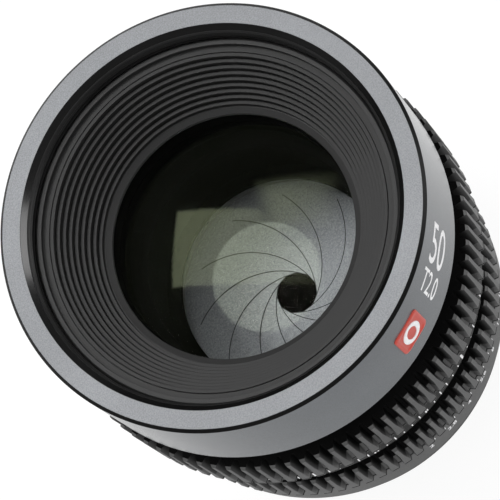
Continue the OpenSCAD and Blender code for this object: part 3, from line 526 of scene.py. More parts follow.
def mark(width, length, radius, z, angle=0.0):
    """Closed mesh of one painted tick on a cylinder: width round it, length along it."""
    steps = 4
    verts = []
    faces = []
    for i in range(steps + 1):
        a = math.radians(angle) + (i / steps - 0.5) * width / radius
        for lift in (-PAINT_T, PAINT_T):
            for up in (z - length / 2, z + length / 2):
                verts.append(((radius + lift) * math.cos(a), (radius + lift) * math.sin(a), up))
    for i in range(steps):
        p = 4 * i
        for m, n in ((0, 1), (1, 3), (3, 2), (2, 0)):
            faces.append((p + m, p + n, p + n + 4, p + m + 4))
    faces += [(0, 2, 3, 1), (4 * steps, 4 * steps + 1, 4 * steps + 3, 4 * steps + 2)]
    mesh = clean_mesh("mark", verts, faces)
    mesh.materials.append(white_paint)
    return mesh


# Front barrel: satin shell with a dark outer chamfer

MOUTH_R = 31.0
MOUTH_CHAMFER = 0.93
FRONT_CHAMFER = 0.55
LIP_Z = FACE_Z - MOUTH_CHAMFER
SHELL_BORE_R = 33.02


def front_shell():
    """Grey shell with a dark chamfer outside its pale face and a glossy black mouth inside."""
    web_bore_r = 25.24
    web_t = 3
    web_top = FRONT_Z + web_t
    outline = [
        (web_bore_r, FRONT_Z), (FRONT_R - EDGE_BREAK, FRONT_Z), (FRONT_R, FRONT_Z + EDGE_BREAK),
        (FRONT_R, FACE_Z - FRONT_CHAMFER), (FRONT_R - FRONT_CHAMFER, FACE_Z),
        (MOUTH_R + MOUTH_CHAMFER, FACE_Z), (MOUTH_R, LIP_Z), (SHELL_BORE_R, LIP_Z),
        (SHELL_BORE_R, web_top), (web_bore_r, web_top),
    ]
    mesh = turned_mesh("front_shell", outline, 0.06)
    for material in (grey_side, black_edge_and_shade, grey_face, mouth_black):
        mesh.materials.append(material)
    for face in mesh.polygons:
        r = face.center.xy.length / MM
        z = face.center.z / MM
        if r > FRONT_R - FRONT_CHAMFER and z > FACE_Z - FRONT_CHAMFER:
            face.material_index = 1
        elif r < MOUTH_R + MOUTH_CHAMFER and z > LIP_Z - SLACK:
            face.material_index = 3
        elif face.normal.z > 0.7:
            face.material_index = 2
    piece("front_shell", mesh, "barrel", [], ["front_barrel"])


def threaded_mouth():
    """Filter ring with the real turns of its thread above the baffle's seat."""
    pitch = 0.75
    depth = 0.36
    steepness = 1.3
    start_fade, end_fade = 0.15, 0.2
    relief = 0.3
    fit = 0.02
    height = 6.6
    outer_r = SHELL_BORE_R - fit
    seat_r = MOUTH_R - EDGE_BREAK
    low_z = LIP_Z - height
    thread_low = RIM_Z + relief
    rows = 44
    verts = []
    for s in range(SIDES):
        turn = s / SIDES
        a = 2 * PI * turn
        ring = [(outer_r, LIP_Z), (outer_r, low_z), (seat_r, low_z), (seat_r, RIM_Z),
                (MOUTH_R + relief, RIM_Z), (MOUTH_R + relief, thread_low)]
        for i in range(rows + 1):
            z = thread_low + (LIP_Z - thread_low) * i / rows
            phase = (z / pitch - turn) % 1.0
            crest = min(1.0, steepness * (1 - abs(2 * phase - 1)))
            fade = min(1.0, (z - thread_low) / start_fade, (LIP_Z - z) / end_fade)
            ring.append((MOUTH_R - depth * crest * fade, z))
        verts += [(r * math.cos(a), r * math.sin(a), z) for r, z in ring]
    mesh = clean_mesh("threaded_mouth", verts, ring_faces(len(verts) // SIDES, SIDES))
    piece("threaded_mouth", mesh, "barrel", [black_anodised], ["filter_ring"], smooth=40)


def light_trap():
    """Ribbed cone behind the filter thread, with its paler rim."""
    ribs = 9
    groove = 0.3
    tread = 0.85
    low_r = 21.9
    rim_w, rim_h, rim_drop = 1.1, 3, 1
    shoulder = 1.05
    rim_in_r = RIM_R - rim_w
    rim_low = RIM_Z - rim_h
    cone_r = rim_in_r - shoulder
    cone_z = RIM_Z - rim_drop
    wall = 1.6
    step_r = (cone_r - low_r) / ribs
    step_z = (cone_z - CONE_LOW_Z) / ribs
    outline = [(low_r, CONE_LOW_Z)]
    for i in range(ribs):
        r = low_r + i * step_r
        z = CONE_LOW_Z + (i + 1) * step_z
        tread_r = r + tread * step_r
        outline += [(r, z), (tread_r, z), (tread_r, z - groove), (r + step_r, z - groove)]
    outline += [
        (cone_r, cone_z), (rim_in_r, cone_z), (rim_in_r, RIM_Z), (RIM_R - EDGE_BREAK, RIM_Z),
        (RIM_R, RIM_Z - EDGE_BREAK), (RIM_R, rim_low), (cone_r + wall, rim_low), (low_r + wall, CONE_LOW_Z),
    ]
    mesh = turned_mesh("light_trap", outline, 0.05)
    mesh.materials.append(trap_black)
    mesh.materials.append(lock_black)
    for face in mesh.polygons:
        face.material_index = int(face.center.xy.length > rim_in_r * MM and face.center.z > cone_z * MM)
    piece("light_trap", mesh, "barrel", [], ["front_baffle"])


def front_lock_ring():
    """Turned ring that holds the front glass, sloped towards it."""
    outer_r, low, high = span("front_retaining_ring")
    clear_r = 20.7
    slope_w, slope_h = 1.0, 0.5
    outline = [
        (clear_r, low), (outer_r, low), (outer_r, high), (clear_r + slope_w, high), (clear_r, high - slope_h),
    ]
    turned("front_lock_ring", outline, "barrel", lock_black, ["front_retaining_ring"], 0.06)


# Geared rings

FOCUS_BAND_H, FOCUS_TOOTH_H = 7.1, 12.4
IRIS_BAND_H, IRIS_TOOTH_H = 7.5, 10.4
FOCUS_TEETH, IRIS_TEETH = 89, 84
TOOTH_DEPTH = 1.8
INDEX_ANGLE = -54.0
FOCUS_TURN = 165.0
IRIS_OPENS, IRIS_CLOSES = 43.1, 8.9
FOCUS_BAND_R = FOCUS_TIP_R - TOOTH_DEPTH
IRIS_BAND_R = IRIS_TIP_R - 0.8
FOCUS_BORE_R, IRIS_BORE_R = 31.6, 29.0
# Share of the tooth's height below which a gap keeps the colour of the lands; above it the gap is painted
# black as shade
GAP_SHADE_SHARE = 0.33
GROOVE = 0.3


def tooth_sector(name, teeth, tip_r, band_r, nose_r, bore_r, low, band_h, tooth_h, high):
    """One tooth gap of a geared ring, from the middle of one land to the next, as a closed slice."""
    gap_top = 1.8
    gap_floor = 0.6
    tip_break = 0.5
    round_w, round_d = 0.06, 0.05
    root_r = tip_r - TOOTH_DEPTH
    foot_z = low + band_h
    crown_z = foot_z + tooth_h
    run_len = tooth_h / 2
    run_z = foot_z + run_len
    end_depth = 0.75
    foot_half = gap_floor / 2
    spread = (gap_top - gap_floor) / 2 / TOOTH_DEPTH
    half_pitch = PI * tip_r / teeth

    def floor_r(z):
        """Radius of the gap's floor, which runs out towards the band."""
        return root_r + max(0.0, run_z - z) * (TOOTH_DEPTH - end_depth) / run_len

    def gap_half(z, r):
        """Half width of the gap at a radius."""
        return foot_half + spread * max(0.0, r - floor_r(z))

    rows = [(bore_r, low, False), (band_r - EDGE_BREAK, low, False), (band_r, low + EDGE_BREAK, False),
            (band_r, foot_z, False), (tip_r - round_w, foot_z, True), (tip_r, foot_z + round_w, True),
            (tip_r, foot_z + GROOVE, True), (tip_r - GROOVE, foot_z + GROOVE, True),
            (tip_r - GROOVE, foot_z + 2 * GROOVE, True), (tip_r, foot_z + 2 * GROOVE, True)]
    rows += [(tip_r, foot_z + GAP_SHADE_SHARE * tooth_h, True), (tip_r, run_z, True),
             (tip_r, crown_z - tip_break, True), (tip_r - tip_break, crown_z, True), (nose_r, crown_z, False),
             (nose_r, high - EDGE_BREAK, False), (nose_r - EDGE_BREAK, high, False), (bore_r, high, False)]
    verts = []
    columns = 8
    for r, z, toothed in rows:
        low_r = floor_r(z)
        open_half = gap_half(z, r)
        brow = open_half + round_w
        places = [(-half_pitch, r), (-brow, r), (-open_half, r - round_d), (-foot_half, low_r),
                  (foot_half, low_r), (open_half, r - round_d), (brow, r), (half_pitch, r)]
        if not toothed:
            places = [(t, r) for t, _ in places]
        for t, radius in places:
            a = t / tip_r
            verts.append((radius * math.cos(a), radius * math.sin(a), z))
    faces = []
    count = len(rows)
    for i in range(count):
        j = (i + 1) % count
        for c in range(columns - 1):
            faces.append((i * columns + c, i * columns + c + 1, j * columns + c + 1, j * columns + c))
    return clean_mesh(name, verts, faces)


def geared_ring(name, teeth, tip_r, band_r, nose_r, bore_r, low, band_h, tooth_h, high, body, node, band):
    """Toothed ring with pale lands, the front of its gaps, groove, front faces and nose painted black as
    shade, and a scale band in its own finish.
    """
    sector = tooth_sector(name, teeth, tip_r, band_r, nose_r, bore_r, low, band_h, tooth_h, high)
    mesh = copied_round(name, sector, teeth, ring_black_and_highlight)
    shape = bmesh.new()
    shape.from_mesh(mesh)
    bmesh.ops.recalc_face_normals(shape, faces=shape.faces)
    shape.to_mesh(mesh)
    shape.free()
    mesh.materials.clear()
    for material in (ring_black_and_highlight, painted_shade_black, band, shaded_tooth_side(name + "_flank", tip_r - TOOTH_DEPTH, tip_r)):
        mesh.materials.append(material)
    foot_z = low + band_h
    ramp_z = foot_z + GAP_SHADE_SHARE * tooth_h
    crown_z = foot_z + tooth_h
    # Painted shade: gap floors, gap fronts, the groove, the front faces and the nose take the near-black, and
    # the gap flanks take the shade that darkens to the root.
    for face in mesh.polygons:
        r = face.center.xy.length / MM
        z = face.center.z / MM
        in_shaded_gap = ramp_z < z and abs(face.normal.z) < 0.5 and r < tip_r - 0.03
        outward = face.normal.xy.dot(face.center.xy.normalized())
        in_shaded_groove = abs(z - foot_z - 1.5 * GROOVE) < 0.51 * GROOVE and r < tip_r - 0.05
        if z > crown_z - SLACK or in_shaded_groove or in_shaded_gap and outward > 0.7:
            face.material_index = 1
        elif in_shaded_gap:
            face.material_index = 3
        elif z < foot_z - SLACK:
            face.material_index = 2
    piece(name, mesh, body, [ring_black_and_highlight], [node], smooth=8)


def focus_scale():
    """Distance marks round the focus ring's band: plain numbers over short ticks."""
    middle = FOCUS_Z + FOCUS_BAND_H / 2
    r = FOCUS_BAND_R
    first, last = INDEX_ANGLE - FOCUS_TURN, INDEX_ANGLE
    marks = [copied_round("focus_ticks", mark(0.22, 1.5, r, FOCUS_Z + 1.4), 56, white_paint, first, 3)]
    for i, number in enumerate(("0.6", "0.7", "0.8", "1", "1.2", "1.5", "2", "3", "5", "10")):
        turn = first + (last - first) * i / 9
        marks.append(lettering(number, 1.9, r, middle + 0.9, turn))
        marks.append(mark(0.3, 2.2, r, FOCUS_Z + 1.6, turn))
    piece("focus_scale", joined("focus_scale", marks), "focus", [])


def iris_scale():
    """Stop marks round the iris ring's band: plain numbers over ticks."""
    r = IRIS_BAND_R
    first, last = INDEX_ANGLE - IRIS_OPENS, INDEX_ANGLE + IRIS_CLOSES
    top = IRIS_Z + IRIS_BAND_H
    marks = []
    for i, number in enumerate(("2", "2.8", "4", "5.6", "8", "11", "16")):
        turn = first + (last - first) * i / 6
        marks.append(lettering(number, 1.3, r, top - 3.3, turn))
        marks.append(mark(0.3, 1.6, r, top - 1.4, turn))
    tick = mark(0.2, 0.9, r, top - 1.1)
    marks.append(copied_round("iris_ticks", tick, 25, white_paint, first, (last - first) / 24))
    piece("iris_scale", joined("iris_scale", marks), "iris", [])


def index_collar():
    """Fixed ring between the two geared rings, with the mark that their scales are read at."""
    spigot_h = 1.2
    top = INDEX_SPIGOT - spigot_h
    edge_r = INDEX_R - EDGE_BREAK
    outline = [
        (SLEEVE_BORE_R, INDEX_Z), (edge_r, INDEX_Z), (INDEX_R, INDEX_Z + EDGE_BREAK),
        (INDEX_R, top - EDGE_BREAK), (edge_r, top), (SPIGOT_R, top), (SPIGOT_R, INDEX_SPIGOT),
        (SPIGOT_IN_R, INDEX_SPIGOT), (SPIGOT_IN_R, top), (SLEEVE_BORE_R, top),
    ]
    mesh = turned_mesh("index_collar", outline, 0.08)
    mesh.materials.append(painted_shade_black)
    mesh.materials.append(ring_black_and_highlight)
    # The band is in the painted-shade black, and the edge breaks take the paler land black as painted
    # highlights.
    for face in mesh.polygons:
        face.material_index = int(abs(face.normal.z) > 0.3 and face.center.xy.length > edge_r * MM)
    piece("index_collar", mesh, "barrel", [], ["index_ring"])
    middle = (INDEX_Z + top) / 2
    piece("index_mark", mark(0.35, 1.0, INDEX_R, middle, INDEX_ANGLE), "barrel", [])


def neck():
    """Black ring between the focus ring and the front barrel, painted extra dark as the shade under the
    barrel.
    """
    spine_r = 26.62
    gap = 0.3
    spigot_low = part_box("neck_ring")[0].z / MM
    low = FOCUS_TOP + gap
    outline = [
        (spine_r, low), (SPIGOT_IN_R, low), (SPIGOT_IN_R, spigot_low), (SPIGOT_R, spigot_low), (SPIGOT_R, low),
        (NECK_R, low), (NECK_R, NECK_TOP), (spine_r, NECK_TOP),
    ]
    turned("neck", outline, "barrel", black_edge_and_shade, ["neck_ring"], 0.15)


# Numbers and badge on the front barrel

BADGE_ANGLE = -78.0
BADGE_W = 6.4


def badge():
    """Raised red plate with round corners, a rim round a sunk panel, and a plain white oval ring."""
    low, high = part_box("badge_plate")
    middle = (low.z + high.z) / 2 / MM
    half_along = (high.z - low.z) / 2 / MM
    half_across = BADGE_W / 2
    panel_r = FRONT_R + 0.2
    rings = [(0.0, FRONT_R - 0.4), (0.0, FRONT_R + 0.15), (0.1, FRONT_R + 0.27), (0.25, FRONT_R + 0.32),
             (0.6, FRONT_R + 0.32), (0.75, FRONT_R + 0.27), (0.85, panel_r), (1.6, panel_r), (2.4, panel_r)]
    corner = 1.0
    per_corner = 8
    verts = []
    for inset, radius in rings:
        for quarter in range(4):
            for k in range(per_corner + 1):
                a = PI / 2 * (quarter + k / per_corner)
                out_x = math.copysign(half_across - corner, math.cos(PI / 2 * quarter + PI / 4))
                out_z = math.copysign(half_along - corner, math.sin(PI / 2 * quarter + PI / 4))
                shrink_x = (half_across - inset) / half_across
                shrink_z = (half_along - inset) / half_along
                across = (out_x + corner * math.cos(a)) * shrink_x
                along = (out_z + corner * math.sin(a)) * shrink_z
                turn = math.radians(BADGE_ANGLE) + across / FRONT_R
                verts.append((radius * math.cos(turn), radius * math.sin(turn), middle + along))
    count = 4 * (per_corner + 1)
    faces = []
    for i in range(len(rings) - 1):
        for k in range(count):
            n = (k + 1) % count
            faces.append((i * count + k, i * count + n, (i + 1) * count + n, (i + 1) * count + k))
    faces.append(tuple(range(count)))
    faces.append(tuple(range((len(rings) - 1) * count, len(rings) * count)))
    mesh = clean_mesh("badge", verts, faces)
    piece("badge", mesh, "barrel", [red_paint], ["badge_plate"], smooth=40)
    piece("badge_mark", oval_ring(panel_r + 0.12, middle), "barrel", [white_paint])


def oval_ring(radius, z):
    """Plain white oval ring, standing a little proud of the badge."""
    steps = 48
    half_across, half_along, stroke = 2.05, 3.05, 0.9
    verts = []
    faces = []
    for k in range(steps):
        a = 2 * PI * k / steps
        for inset, lift in ((0, -0.2), (0, 0.0), (stroke, 0.0), (stroke, -0.2)):
            turn = math.radians(BADGE_ANGLE) + (half_across - inset) * math.cos(a) / radius
            up = z + (half_along - inset) * math.sin(a)
            verts.append(((radius + lift) * math.cos(turn), (radius + lift) * math.sin(turn), up))
    for k in range(steps):
        for c in range(4):
            d = (c + 1) % 4
            n = (k + 1) % steps
            faces.append((4 * k + c, 4 * n + c, 4 * n + d, 4 * k + d))
    return clean_mesh("badge_mark", verts, faces)


def barrel_numbers():
    """Generic focal length and stop, painted along the barrel."""
    numbers = [lettering("50", 6.7, FRONT_R, FACE_Z - 9.9, -55.6, True, 0.0),
               lettering("T2.0", 3.7, FRONT_R, FACE_Z - 9.8, -65.3, True, 0.004)]
    piece("barrel_numbers", joined("barrel_numbers", numbers), "barrel", [])


# Iris blades, each sloping from its root down to its tip so that they lie over one another all round

BLADE_COUNT = 11
PIVOT_R = 23.0
BLADE_IN_R, BLADE_OUT_R = 15.0, 24.2
BLADE_LEAD, BLADE_REACH = 8.0, 98.0
BLADE_SHOWN = 29.0
BLADE_T = 0.03
BLADE_RIM = 0.14
BLADE_LOW_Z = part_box("iris_base_plate")[1].z / MM + 0.15
BLADE_HIGH_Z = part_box("iris_cam_ring")[0].z / MM - 0.3


def iris_blade(i):
    """One curved leaf at its rest angle, with a dark inner rim painted as the shadow line where it lies over
    the next blade.
    """
    steps = 72
    curl = 1.5
    rise = 0.9 * (BLADE_HIGH_Z - BLADE_LOW_Z)
    base_z = BLADE_LOW_Z + 0.05 * (BLADE_HIGH_Z - BLADE_LOW_Z)
    radii = (BLADE_IN_R, BLADE_IN_R + BLADE_RIM, BLADE_OUT_R)
    own = Matrix.Rotation(2 * PI * i / BLADE_COUNT, 4, "Z")
    swing = (Matrix.Translation((PIVOT_R, 0, 0)) @ Matrix.Rotation(math.radians(-BLADE_SHOWN), 4, "Z")
             @ Matrix.Translation((-PIVOT_R, 0, 0)))
    place = own @ swing
    verts = []
    faces = []
    across = len(radii)
    for k in range(steps + 1):
        share = k / steps
        a = math.radians(-BLADE_REACH + (BLADE_REACH + BLADE_LEAD) * share)
        z = base_z + rise * (1 - (1 - share) ** curl)
        for lift in (0, BLADE_T):
            verts += [tuple(place @ Vector((r * math.cos(a), r * math.sin(a), z + lift))) for r in radii]
    ring = 2 * across
    for k in range(steps):
        p = k * ring
        for c in range(across - 1):
            faces.append((p + c, p + c + ring, p + c + 1 + ring, p + c + 1))
            upper = p + across + c
            faces.append((upper, upper + 1, upper + 1 + ring, upper + ring))
        faces.append((p, p + across, p + across + ring, p + ring))
        last = across - 1
        faces.append((p + last, p + last + ring, p + last + across + ring, p + last + across))
    for p in (0, steps * ring):
        for c in range(across - 1):
            faces.append((p + c, p + c + 1, p + c + 1 + across, p + c + across))
    mesh = clean_mesh("blade", verts, faces)
    mesh.materials.append(blade_grey)
    mesh.materials.append(blade_edge)
    inverse = place.inverted()
    for face in mesh.polygons:
        here = inverse @ (face.center / MM)
        face.material_index = int(math.hypot(here.x, here.y) < BLADE_IN_R + BLADE_RIM)
    name = "blade_%02d" % (i + 1)
    piece(name + "_leaf", mesh, name, [], ["iris_" + name])


# Rear: barrel, mount and screws

def rear_shell():
    """Black rear barrel that narrows towards the mount."""
    bore_r = SLEEVE_BORE_R
    flange_bore = 24.0
    ledge_z = REAR_Z + 5
    outline = [
        (flange_bore, REAR_Z), (FLANGE_R, REAR_Z), (FLANGE_R, REAR_Z + EDGE_BREAK), (REAR_R, REAR_TOP - 4),
        (REAR_R, REAR_TOP - EDGE_BREAK), (REAR_R - EDGE_BREAK, REAR_TOP), (bore_r, REAR_TOP),
        (bore_r, ledge_z), (flange_bore, ledge_z),
    ]
    turned("rear_shell", outline, "barrel", black_anodised, ["rear_barrel"], 0.15)


# Glass

def glass_element(number, front, rear, coat, body):
    """Smooth glass with signed crowns (above 0 bulges, below 0 is hollow), coated on its stronger side."""
    node = "element_%d" % number
    outer_r, low, high = span(node)
    land_r = outer_r - 1
    steps = 32

    def sag(crown, r):
        return crown - math.sqrt(crown * crown - r * r)

    def front_z(r):
        return high - sag(front, r) if front else high

    def rear_z(r):
        return low + max(0.0, sag(-rear, land_r) - sag(-rear, r)) if rear else low

    radii = [outer_r * k / steps for k in range(steps + 1)]
    outline = [(r, rear_z(r)) for r in radii] + [(r, front_z(r)) for r in reversed(radii)]
    mesh = turned_mesh("glass_%d" % number, outline, 0, 128)
    mesh.materials.append(coat)
    mesh.materials.append(clear_glass)
    for face in mesh.polygons:
        coated = face.normal.z > 0.3 if front else face.normal.z < -0.3
        face.material_index = 0 if coated else 1
    piece("glass_%d" % number, mesh, body, [], [node], smooth=30)


# Build all pieces

front_shell()
threaded_mouth()
light_trap()
front_lock_ring()
neck()
geared_ring("focus_gear_ring", FOCUS_TEETH, FOCUS_TIP_R, FOCUS_BAND_R, NECK_R, FOCUS_BORE_R, FOCUS_Z,
            FOCUS_BAND_H, FOCUS_TOOTH_H, FOCUS_TOP, "focus", "focus_ring", band_black)
index_collar()
geared_ring("iris_gear_ring", IRIS_TEETH, IRIS_TIP_R, IRIS_BAND_R, IRIS_TIP_R - TOOTH_DEPTH, IRIS_BORE_R,
            IRIS_Z, IRIS_BAND_H, IRIS_TOOTH_H, IRIS_TOP, "iris", "iris_ring", ring_black_and_highlight)
focus_scale()
iris_scale()
badge()
barrel_numbers()
rear_shell()
for blade_index in range(BLADE_COUNT):
    iris_blade(blade_index)
FRONT_CROWN, STRONG_CROWN, WEAK_CROWN = 86.6, 90.0, 180.0
glass_element(1, FRONT_CROWN, 0, green_coat, "barrel")
glass_element(2, 0, -WEAK_CROWN, faint_coat, "barrel")
glass_element(3, STRONG_CROWN, -WEAK_CROWN, faint_coat, "carriage")
glass_element(4, 0, -STRONG_CROWN, faint_coat, "carriage")
glass_element(5, STRONG_CROWN, -WEAK_CROWN, magenta_coat, "carriage")

FINISH = {
    "front_cell": deep_black, "front_spacer_ring": deep_black, "barrel_grub_screws": screw_black,
    "guide_barrel": deep_black, "iris_bushes": bronze, "iris_cover": cover_grey,
    "iris_base_plate": deep_black, "rear_cell": deep_black, "cell_lock_ring": deep_black,
    "rear_retaining_ring": deep_black, "mount_shim": bronze, "mount_flange": mount_metal,
    "mount_screws": screw_black, "mount_index_dot": red_paint, "rear_baffle": deep_black,
    "cam_sleeve": bronze, "focus_drive_screws": screw_black,
    "focus_carriage": deep_black, "cam_rollers": bronze, "roller_screws": screw_black,
    "carriage_retaining_ring": deep_black, "iris_drive_key": mount_metal, "iris_cam_ring": deep_black,
}
for number in range(6, 11):
    FINISH["element_%d" % number] = inner_glass_shaded
for node_name, finish in FINISH.items():
    cad_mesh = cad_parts[node_name].data
    cad_mesh.materials.clear()
    cad_mesh.materials.append(finish)


# Camera at the photograph's angle

VIEW_TILT = 21.7
VIEW_ROLL = 41.9
LENS_MM = 226.9
FRONT_CENTRE_SEEN = Vector((-6.57, 5.77, -501.9)) * MM

camera_data = bpy.data.cameras.new("camera")
camera_data.lens = LENS_MM
camera_data.sensor_width = 36
camera = bpy.data.objects.new("camera", camera_data)
bpy.context.scene.collection.objects.link(camera)
tilt = math.radians(VIEW_TILT)
roll = math.radians(VIEW_ROLL)
# Part axes as the camera sees them: x right, y up, z towards the camera
part_z = Vector((-math.sin(tilt) * math.cos(roll), math.sin(tilt) * math.sin(roll), math.cos(tilt)))
seen = FRONT_CENTRE_SEEN
toward = (-seen - part_z * (-seen).dot(part_z)).normalized()
part_y = -toward
part_x = part_y.cross(part_z)
to_part = Matrix((part_x, part_y, part_z))
camera.matrix_world = Matrix.Translation(Vector((0, 0, FACE_Z * MM)) - to_part @ seen) @ to_part.to_4x4()
bpy.context.scene.camera = camera


# Floor, world and lamps

def pale_floor():
    """White floor that keeps the shadow and shows as a bright backdrop in what shines."""
    size = 3.0
    floor_z = cad_low.z
    verts = [(-size, -size, floor_z), (size, -size, floor_z), (size, size, floor_z), (-size, size, floor_z)]
    mesh = bpy.data.meshes.new("floor")
    mesh.from_pydata(verts, [], [(0, 1, 2, 3)])
    floor = bpy.data.objects.new("floor", mesh)
    bpy.context.scene.collection.objects.link(floor)
    material, tree, output = bare_material("floor_white")
    matt = tree.nodes.new("ShaderNodeBsdfDiffuse")
    matt.inputs["Color"].default_value = (0.86, 0.86, 0.86, 1)
    glow = tree.nodes.new("ShaderNodeEmission")
    path = tree.nodes.new("ShaderNodeLightPath")
    coords = tree.nodes.new("ShaderNodeTexCoord")
    slope = tree.nodes.new("ShaderNodeVectorMath")
    slope.operation = "DOT_PRODUCT"
    slope.inputs[1].default_value = (1.5, 4.5, 0)
    lit = tree.nodes.new("ShaderNodeMapRange")
    lit.inputs["From Min"].default_value = -0.35
    lit.inputs["From Max"].default_value = 0.15
    lit.inputs["To Min"].default_value = 0.32
    lit.inputs["To Max"].default_value = 1.0
    level = tree.nodes.new("ShaderNodeMapRange")
    level.inputs["To Min"].default_value = 1.08
    share = tree.nodes.new("ShaderNodeMath")
    share.operation = "MULTIPLY_ADD"
    share.inputs[1].default_value = 0.8
    apart = tree.nodes.new("ShaderNodeVectorMath")
    apart.operation = "LENGTH"
    beside = tree.nodes.new("ShaderNodeMath")
    beside.operation = "GREATER_THAN"
    beside.inputs[1].default_value = 0.028
    masked = tree.nodes.new("ShaderNodeMath")
    masked.operation = "MULTIPLY"
    mix = tree.nodes.new("ShaderNodeMixShader")
    tree.links.new(coords.outputs["Object"], slope.inputs[0])
    tree.links.new(slope.outputs["Value"], lit.inputs["Value"])
    tree.links.new(lit.outputs["Result"], level.inputs["To Max"])
    tree.links.new(path.outputs["Is Glossy Ray"], level.inputs["Value"])
    tree.links.new(level.outputs["Result"], glow.inputs["Strength"])
    tree.links.new(path.outputs["Is Camera Ray"], share.inputs[0])
    tree.links.new(path.outputs["Is Glossy Ray"], share.inputs[2])
    tree.links.new(coords.outputs["Object"], apart.inputs[0])
    tree.links.new(apart.outputs["Value"], beside.inputs[0])
    tree.links.new(share.outputs["Value"], masked.inputs[0])
    tree.links.new(beside.outputs["Value"], masked.inputs[1])
    tree.links.new(masked.outputs["Value"], mix.inputs["Fac"])
    tree.links.new(matt.outputs["BSDF"], mix.inputs[1])
    tree.links.new(glow.outputs["Emission"], mix.inputs[2])
    tree.links.new(mix.outputs["Shader"], output.inputs["Surface"])
    mesh.materials.append(material)


def studio_world():
    """Even light for matt surfaces, and a dim room in what shines."""
    world = bpy.data.worlds.new("studio")
    world.use_nodes = True
    tree = world.node_tree
    shade = tree.nodes["Background"]
    shade.inputs["Color"].default_value = (1, 1, 1, 1)
    path = tree.nodes.new("ShaderNodeLightPath")
    level = tree.nodes.new("ShaderNodeMapRange")
    level.inputs["To Min"].default_value = 0.85
    level.inputs["To Max"].default_value = 0.10
    tree.links.new(path.outputs["Is Glossy Ray"], level.inputs["Value"])
    tree.links.new(level.outputs["Result"], shade.inputs["Strength"])
    bpy.context.scene.world = world


def facing(heading, distance):
    """Place and turn of something that faces the front glass, square to the picture."""
    view = camera.matrix_world.to_3x3()
    away = (view @ Vector(heading)).normalized()
    across = view @ Vector((1, 0, 0))
    across = (across - away * across.dot(away)).normalized()
    turn = Matrix((across, away.cross(across), away)).transposed()
    return Matrix.Translation(Vector((0, 0, FACE_Z * MM)) + away * distance) @ turn.to_4x4()


def soft_lamp(name, heading, distance, size, radiance):
    """Softbox along a heading in the camera's own axes, not mirrored in what shines."""
    lamp = bpy.data.lights.new(name, "AREA")
    lamp.shape = "RECTANGLE"
    lamp.size, lamp.size_y = size
    lamp.energy = radiance * PI * size[0] * size[1]
    holder = bpy.data.objects.new(name, lamp)
    holder.matrix_world = facing(heading, distance)
    holder.visible_glossy = False
    bpy.context.scene.collection.objects.link(holder)


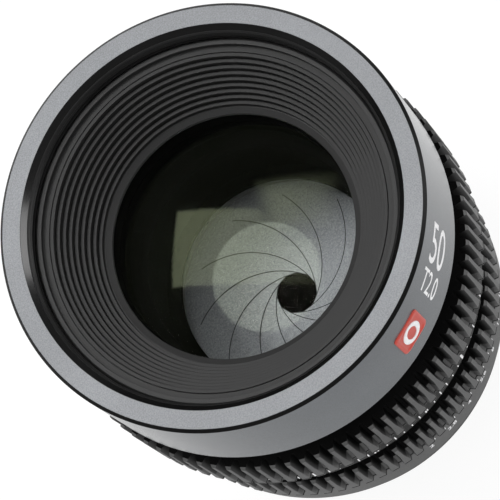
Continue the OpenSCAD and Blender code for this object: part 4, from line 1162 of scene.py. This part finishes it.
def window_box(name, heading, distance, size, radiance, soft, roll=0.0, lights=True):
    """Bright panel with softened edges that fades towards its right, as the glass mirrors it."""
    mesh = bpy.data.meshes.new(name)
    w, h = size[0] / 2, size[1] / 2
    mesh.from_pydata([(-w, -h, 0), (w, -h, 0), (w, h, 0), (-w, h, 0)], [], [(0, 1, 2, 3)])
    panel = bpy.data.objects.new(name, mesh)
    panel.matrix_world = facing(heading, distance) @ Matrix.Rotation(math.radians(roll), 4, "Z")
    bpy.context.scene.collection.objects.link(panel)
    panel.visible_camera = False
    panel.visible_diffuse = lights
    material, tree, output = bare_material(name)
    glow = tree.nodes.new("ShaderNodeEmission")
    coords = tree.nodes.new("ShaderNodeTexCoord")
    split = tree.nodes.new("ShaderNodeSeparateXYZ")
    fall = tree.nodes.new("ShaderNodeMapRange")
    fall.interpolation_type = "SMOOTHSTEP"
    fall.inputs["From Min"].default_value = w
    fall.inputs["From Max"].default_value = -0.4 * w
    fall.inputs["To Min"].default_value = 0.35 * radiance
    fall.inputs["To Max"].default_value = radiance
    reach = tree.nodes.new("ShaderNodeVectorMath")
    reach.operation = "ABSOLUTE"
    inset = tree.nodes.new("ShaderNodeVectorMath")
    inset.operation = "SUBTRACT"
    inset.inputs[0].default_value = (w, h, 0)
    sides = tree.nodes.new("ShaderNodeSeparateXYZ")
    nearest = tree.nodes.new("ShaderNodeMath")
    nearest.operation = "MINIMUM"
    edge = tree.nodes.new("ShaderNodeMapRange")
    edge.interpolation_type = "SMOOTHSTEP"
    edge.inputs["From Max"].default_value = soft
    strength = tree.nodes.new("ShaderNodeMath")
    strength.operation = "MULTIPLY"
    links = tree.links
    links.new(coords.outputs["Object"], split.inputs["Vector"])
    links.new(split.outputs["X"], fall.inputs["Value"])
    links.new(coords.outputs["Object"], reach.inputs[0])
    links.new(reach.outputs["Vector"], inset.inputs[1])
    links.new(inset.outputs["Vector"], sides.inputs["Vector"])
    links.new(sides.outputs["X"], nearest.inputs[0])
    links.new(sides.outputs["Y"], nearest.inputs[1])
    links.new(nearest.outputs["Value"], edge.inputs["Value"])
    links.new(fall.outputs["Result"], strength.inputs[0])
    links.new(edge.outputs["Result"], strength.inputs[1])
    links.new(strength.outputs["Value"], glow.inputs["Strength"])
    links.new(glow.outputs["Emission"], output.inputs["Surface"])
    mesh.materials.append(material)


def iris_beam(name, heading, distance, watts, spread, blend, tint=(1, 1, 1)):
    """Narrow beam down the barrel that lights the iris blades."""
    lamp = bpy.data.lights.new(name, "SPOT")
    lamp.energy = watts
    lamp.color = tint
    lamp.spot_size = math.radians(spread)
    lamp.spot_blend = blend
    lamp.shadow_soft_size = 0.0003
    holder = bpy.data.objects.new(name, lamp)
    holder.matrix_world = facing(heading, distance)
    holder.visible_glossy = False
    bpy.context.scene.collection.objects.link(holder)


pale_floor()
studio_world()
window_box("window_box", (-0.44, 0.40, 0.74), 0.75, (0.52, 0.265), 4.0, 0.018, -10)
window_box("second_window", (-0.26, 0.63, 0.82), 0.75, (0.30, 0.24), 4.0, 0.09, lights=False)
window_box("edge_panel", (0.78, 0.45, 0.42), 0.8, (0.5, 0.4), 4.0, 0.03, lights=False)
iris_beam("iris_beam", (-0.45, 0.27, 0.85), 0.6, 9, 3.8, 1.0)
iris_beam("disc_beam", (-0.179, 0.196, 0.965), 0.6, 8, 1.75, 0.05, (0.94, 1.0, 0.80))
soft_lamp("high_box", (-0.85, 0.25, 0.46), 0.8, (0.4, 0.4), 3.2)
soft_lamp("right_box", (0.9, -0.1, 0.35), 0.8, (0.4, 0.6), 0.9)
soft_lamp("low_box", (0.1, -0.9, 0.45), 0.8, (0.6, 0.4), 0.9)

bpy.context.scene.view_settings.view_transform = "Standard"
# The view down the barrel passes ten glass surfaces before the iris
bpy.context.scene.cycles.transparent_max_bounces = 48
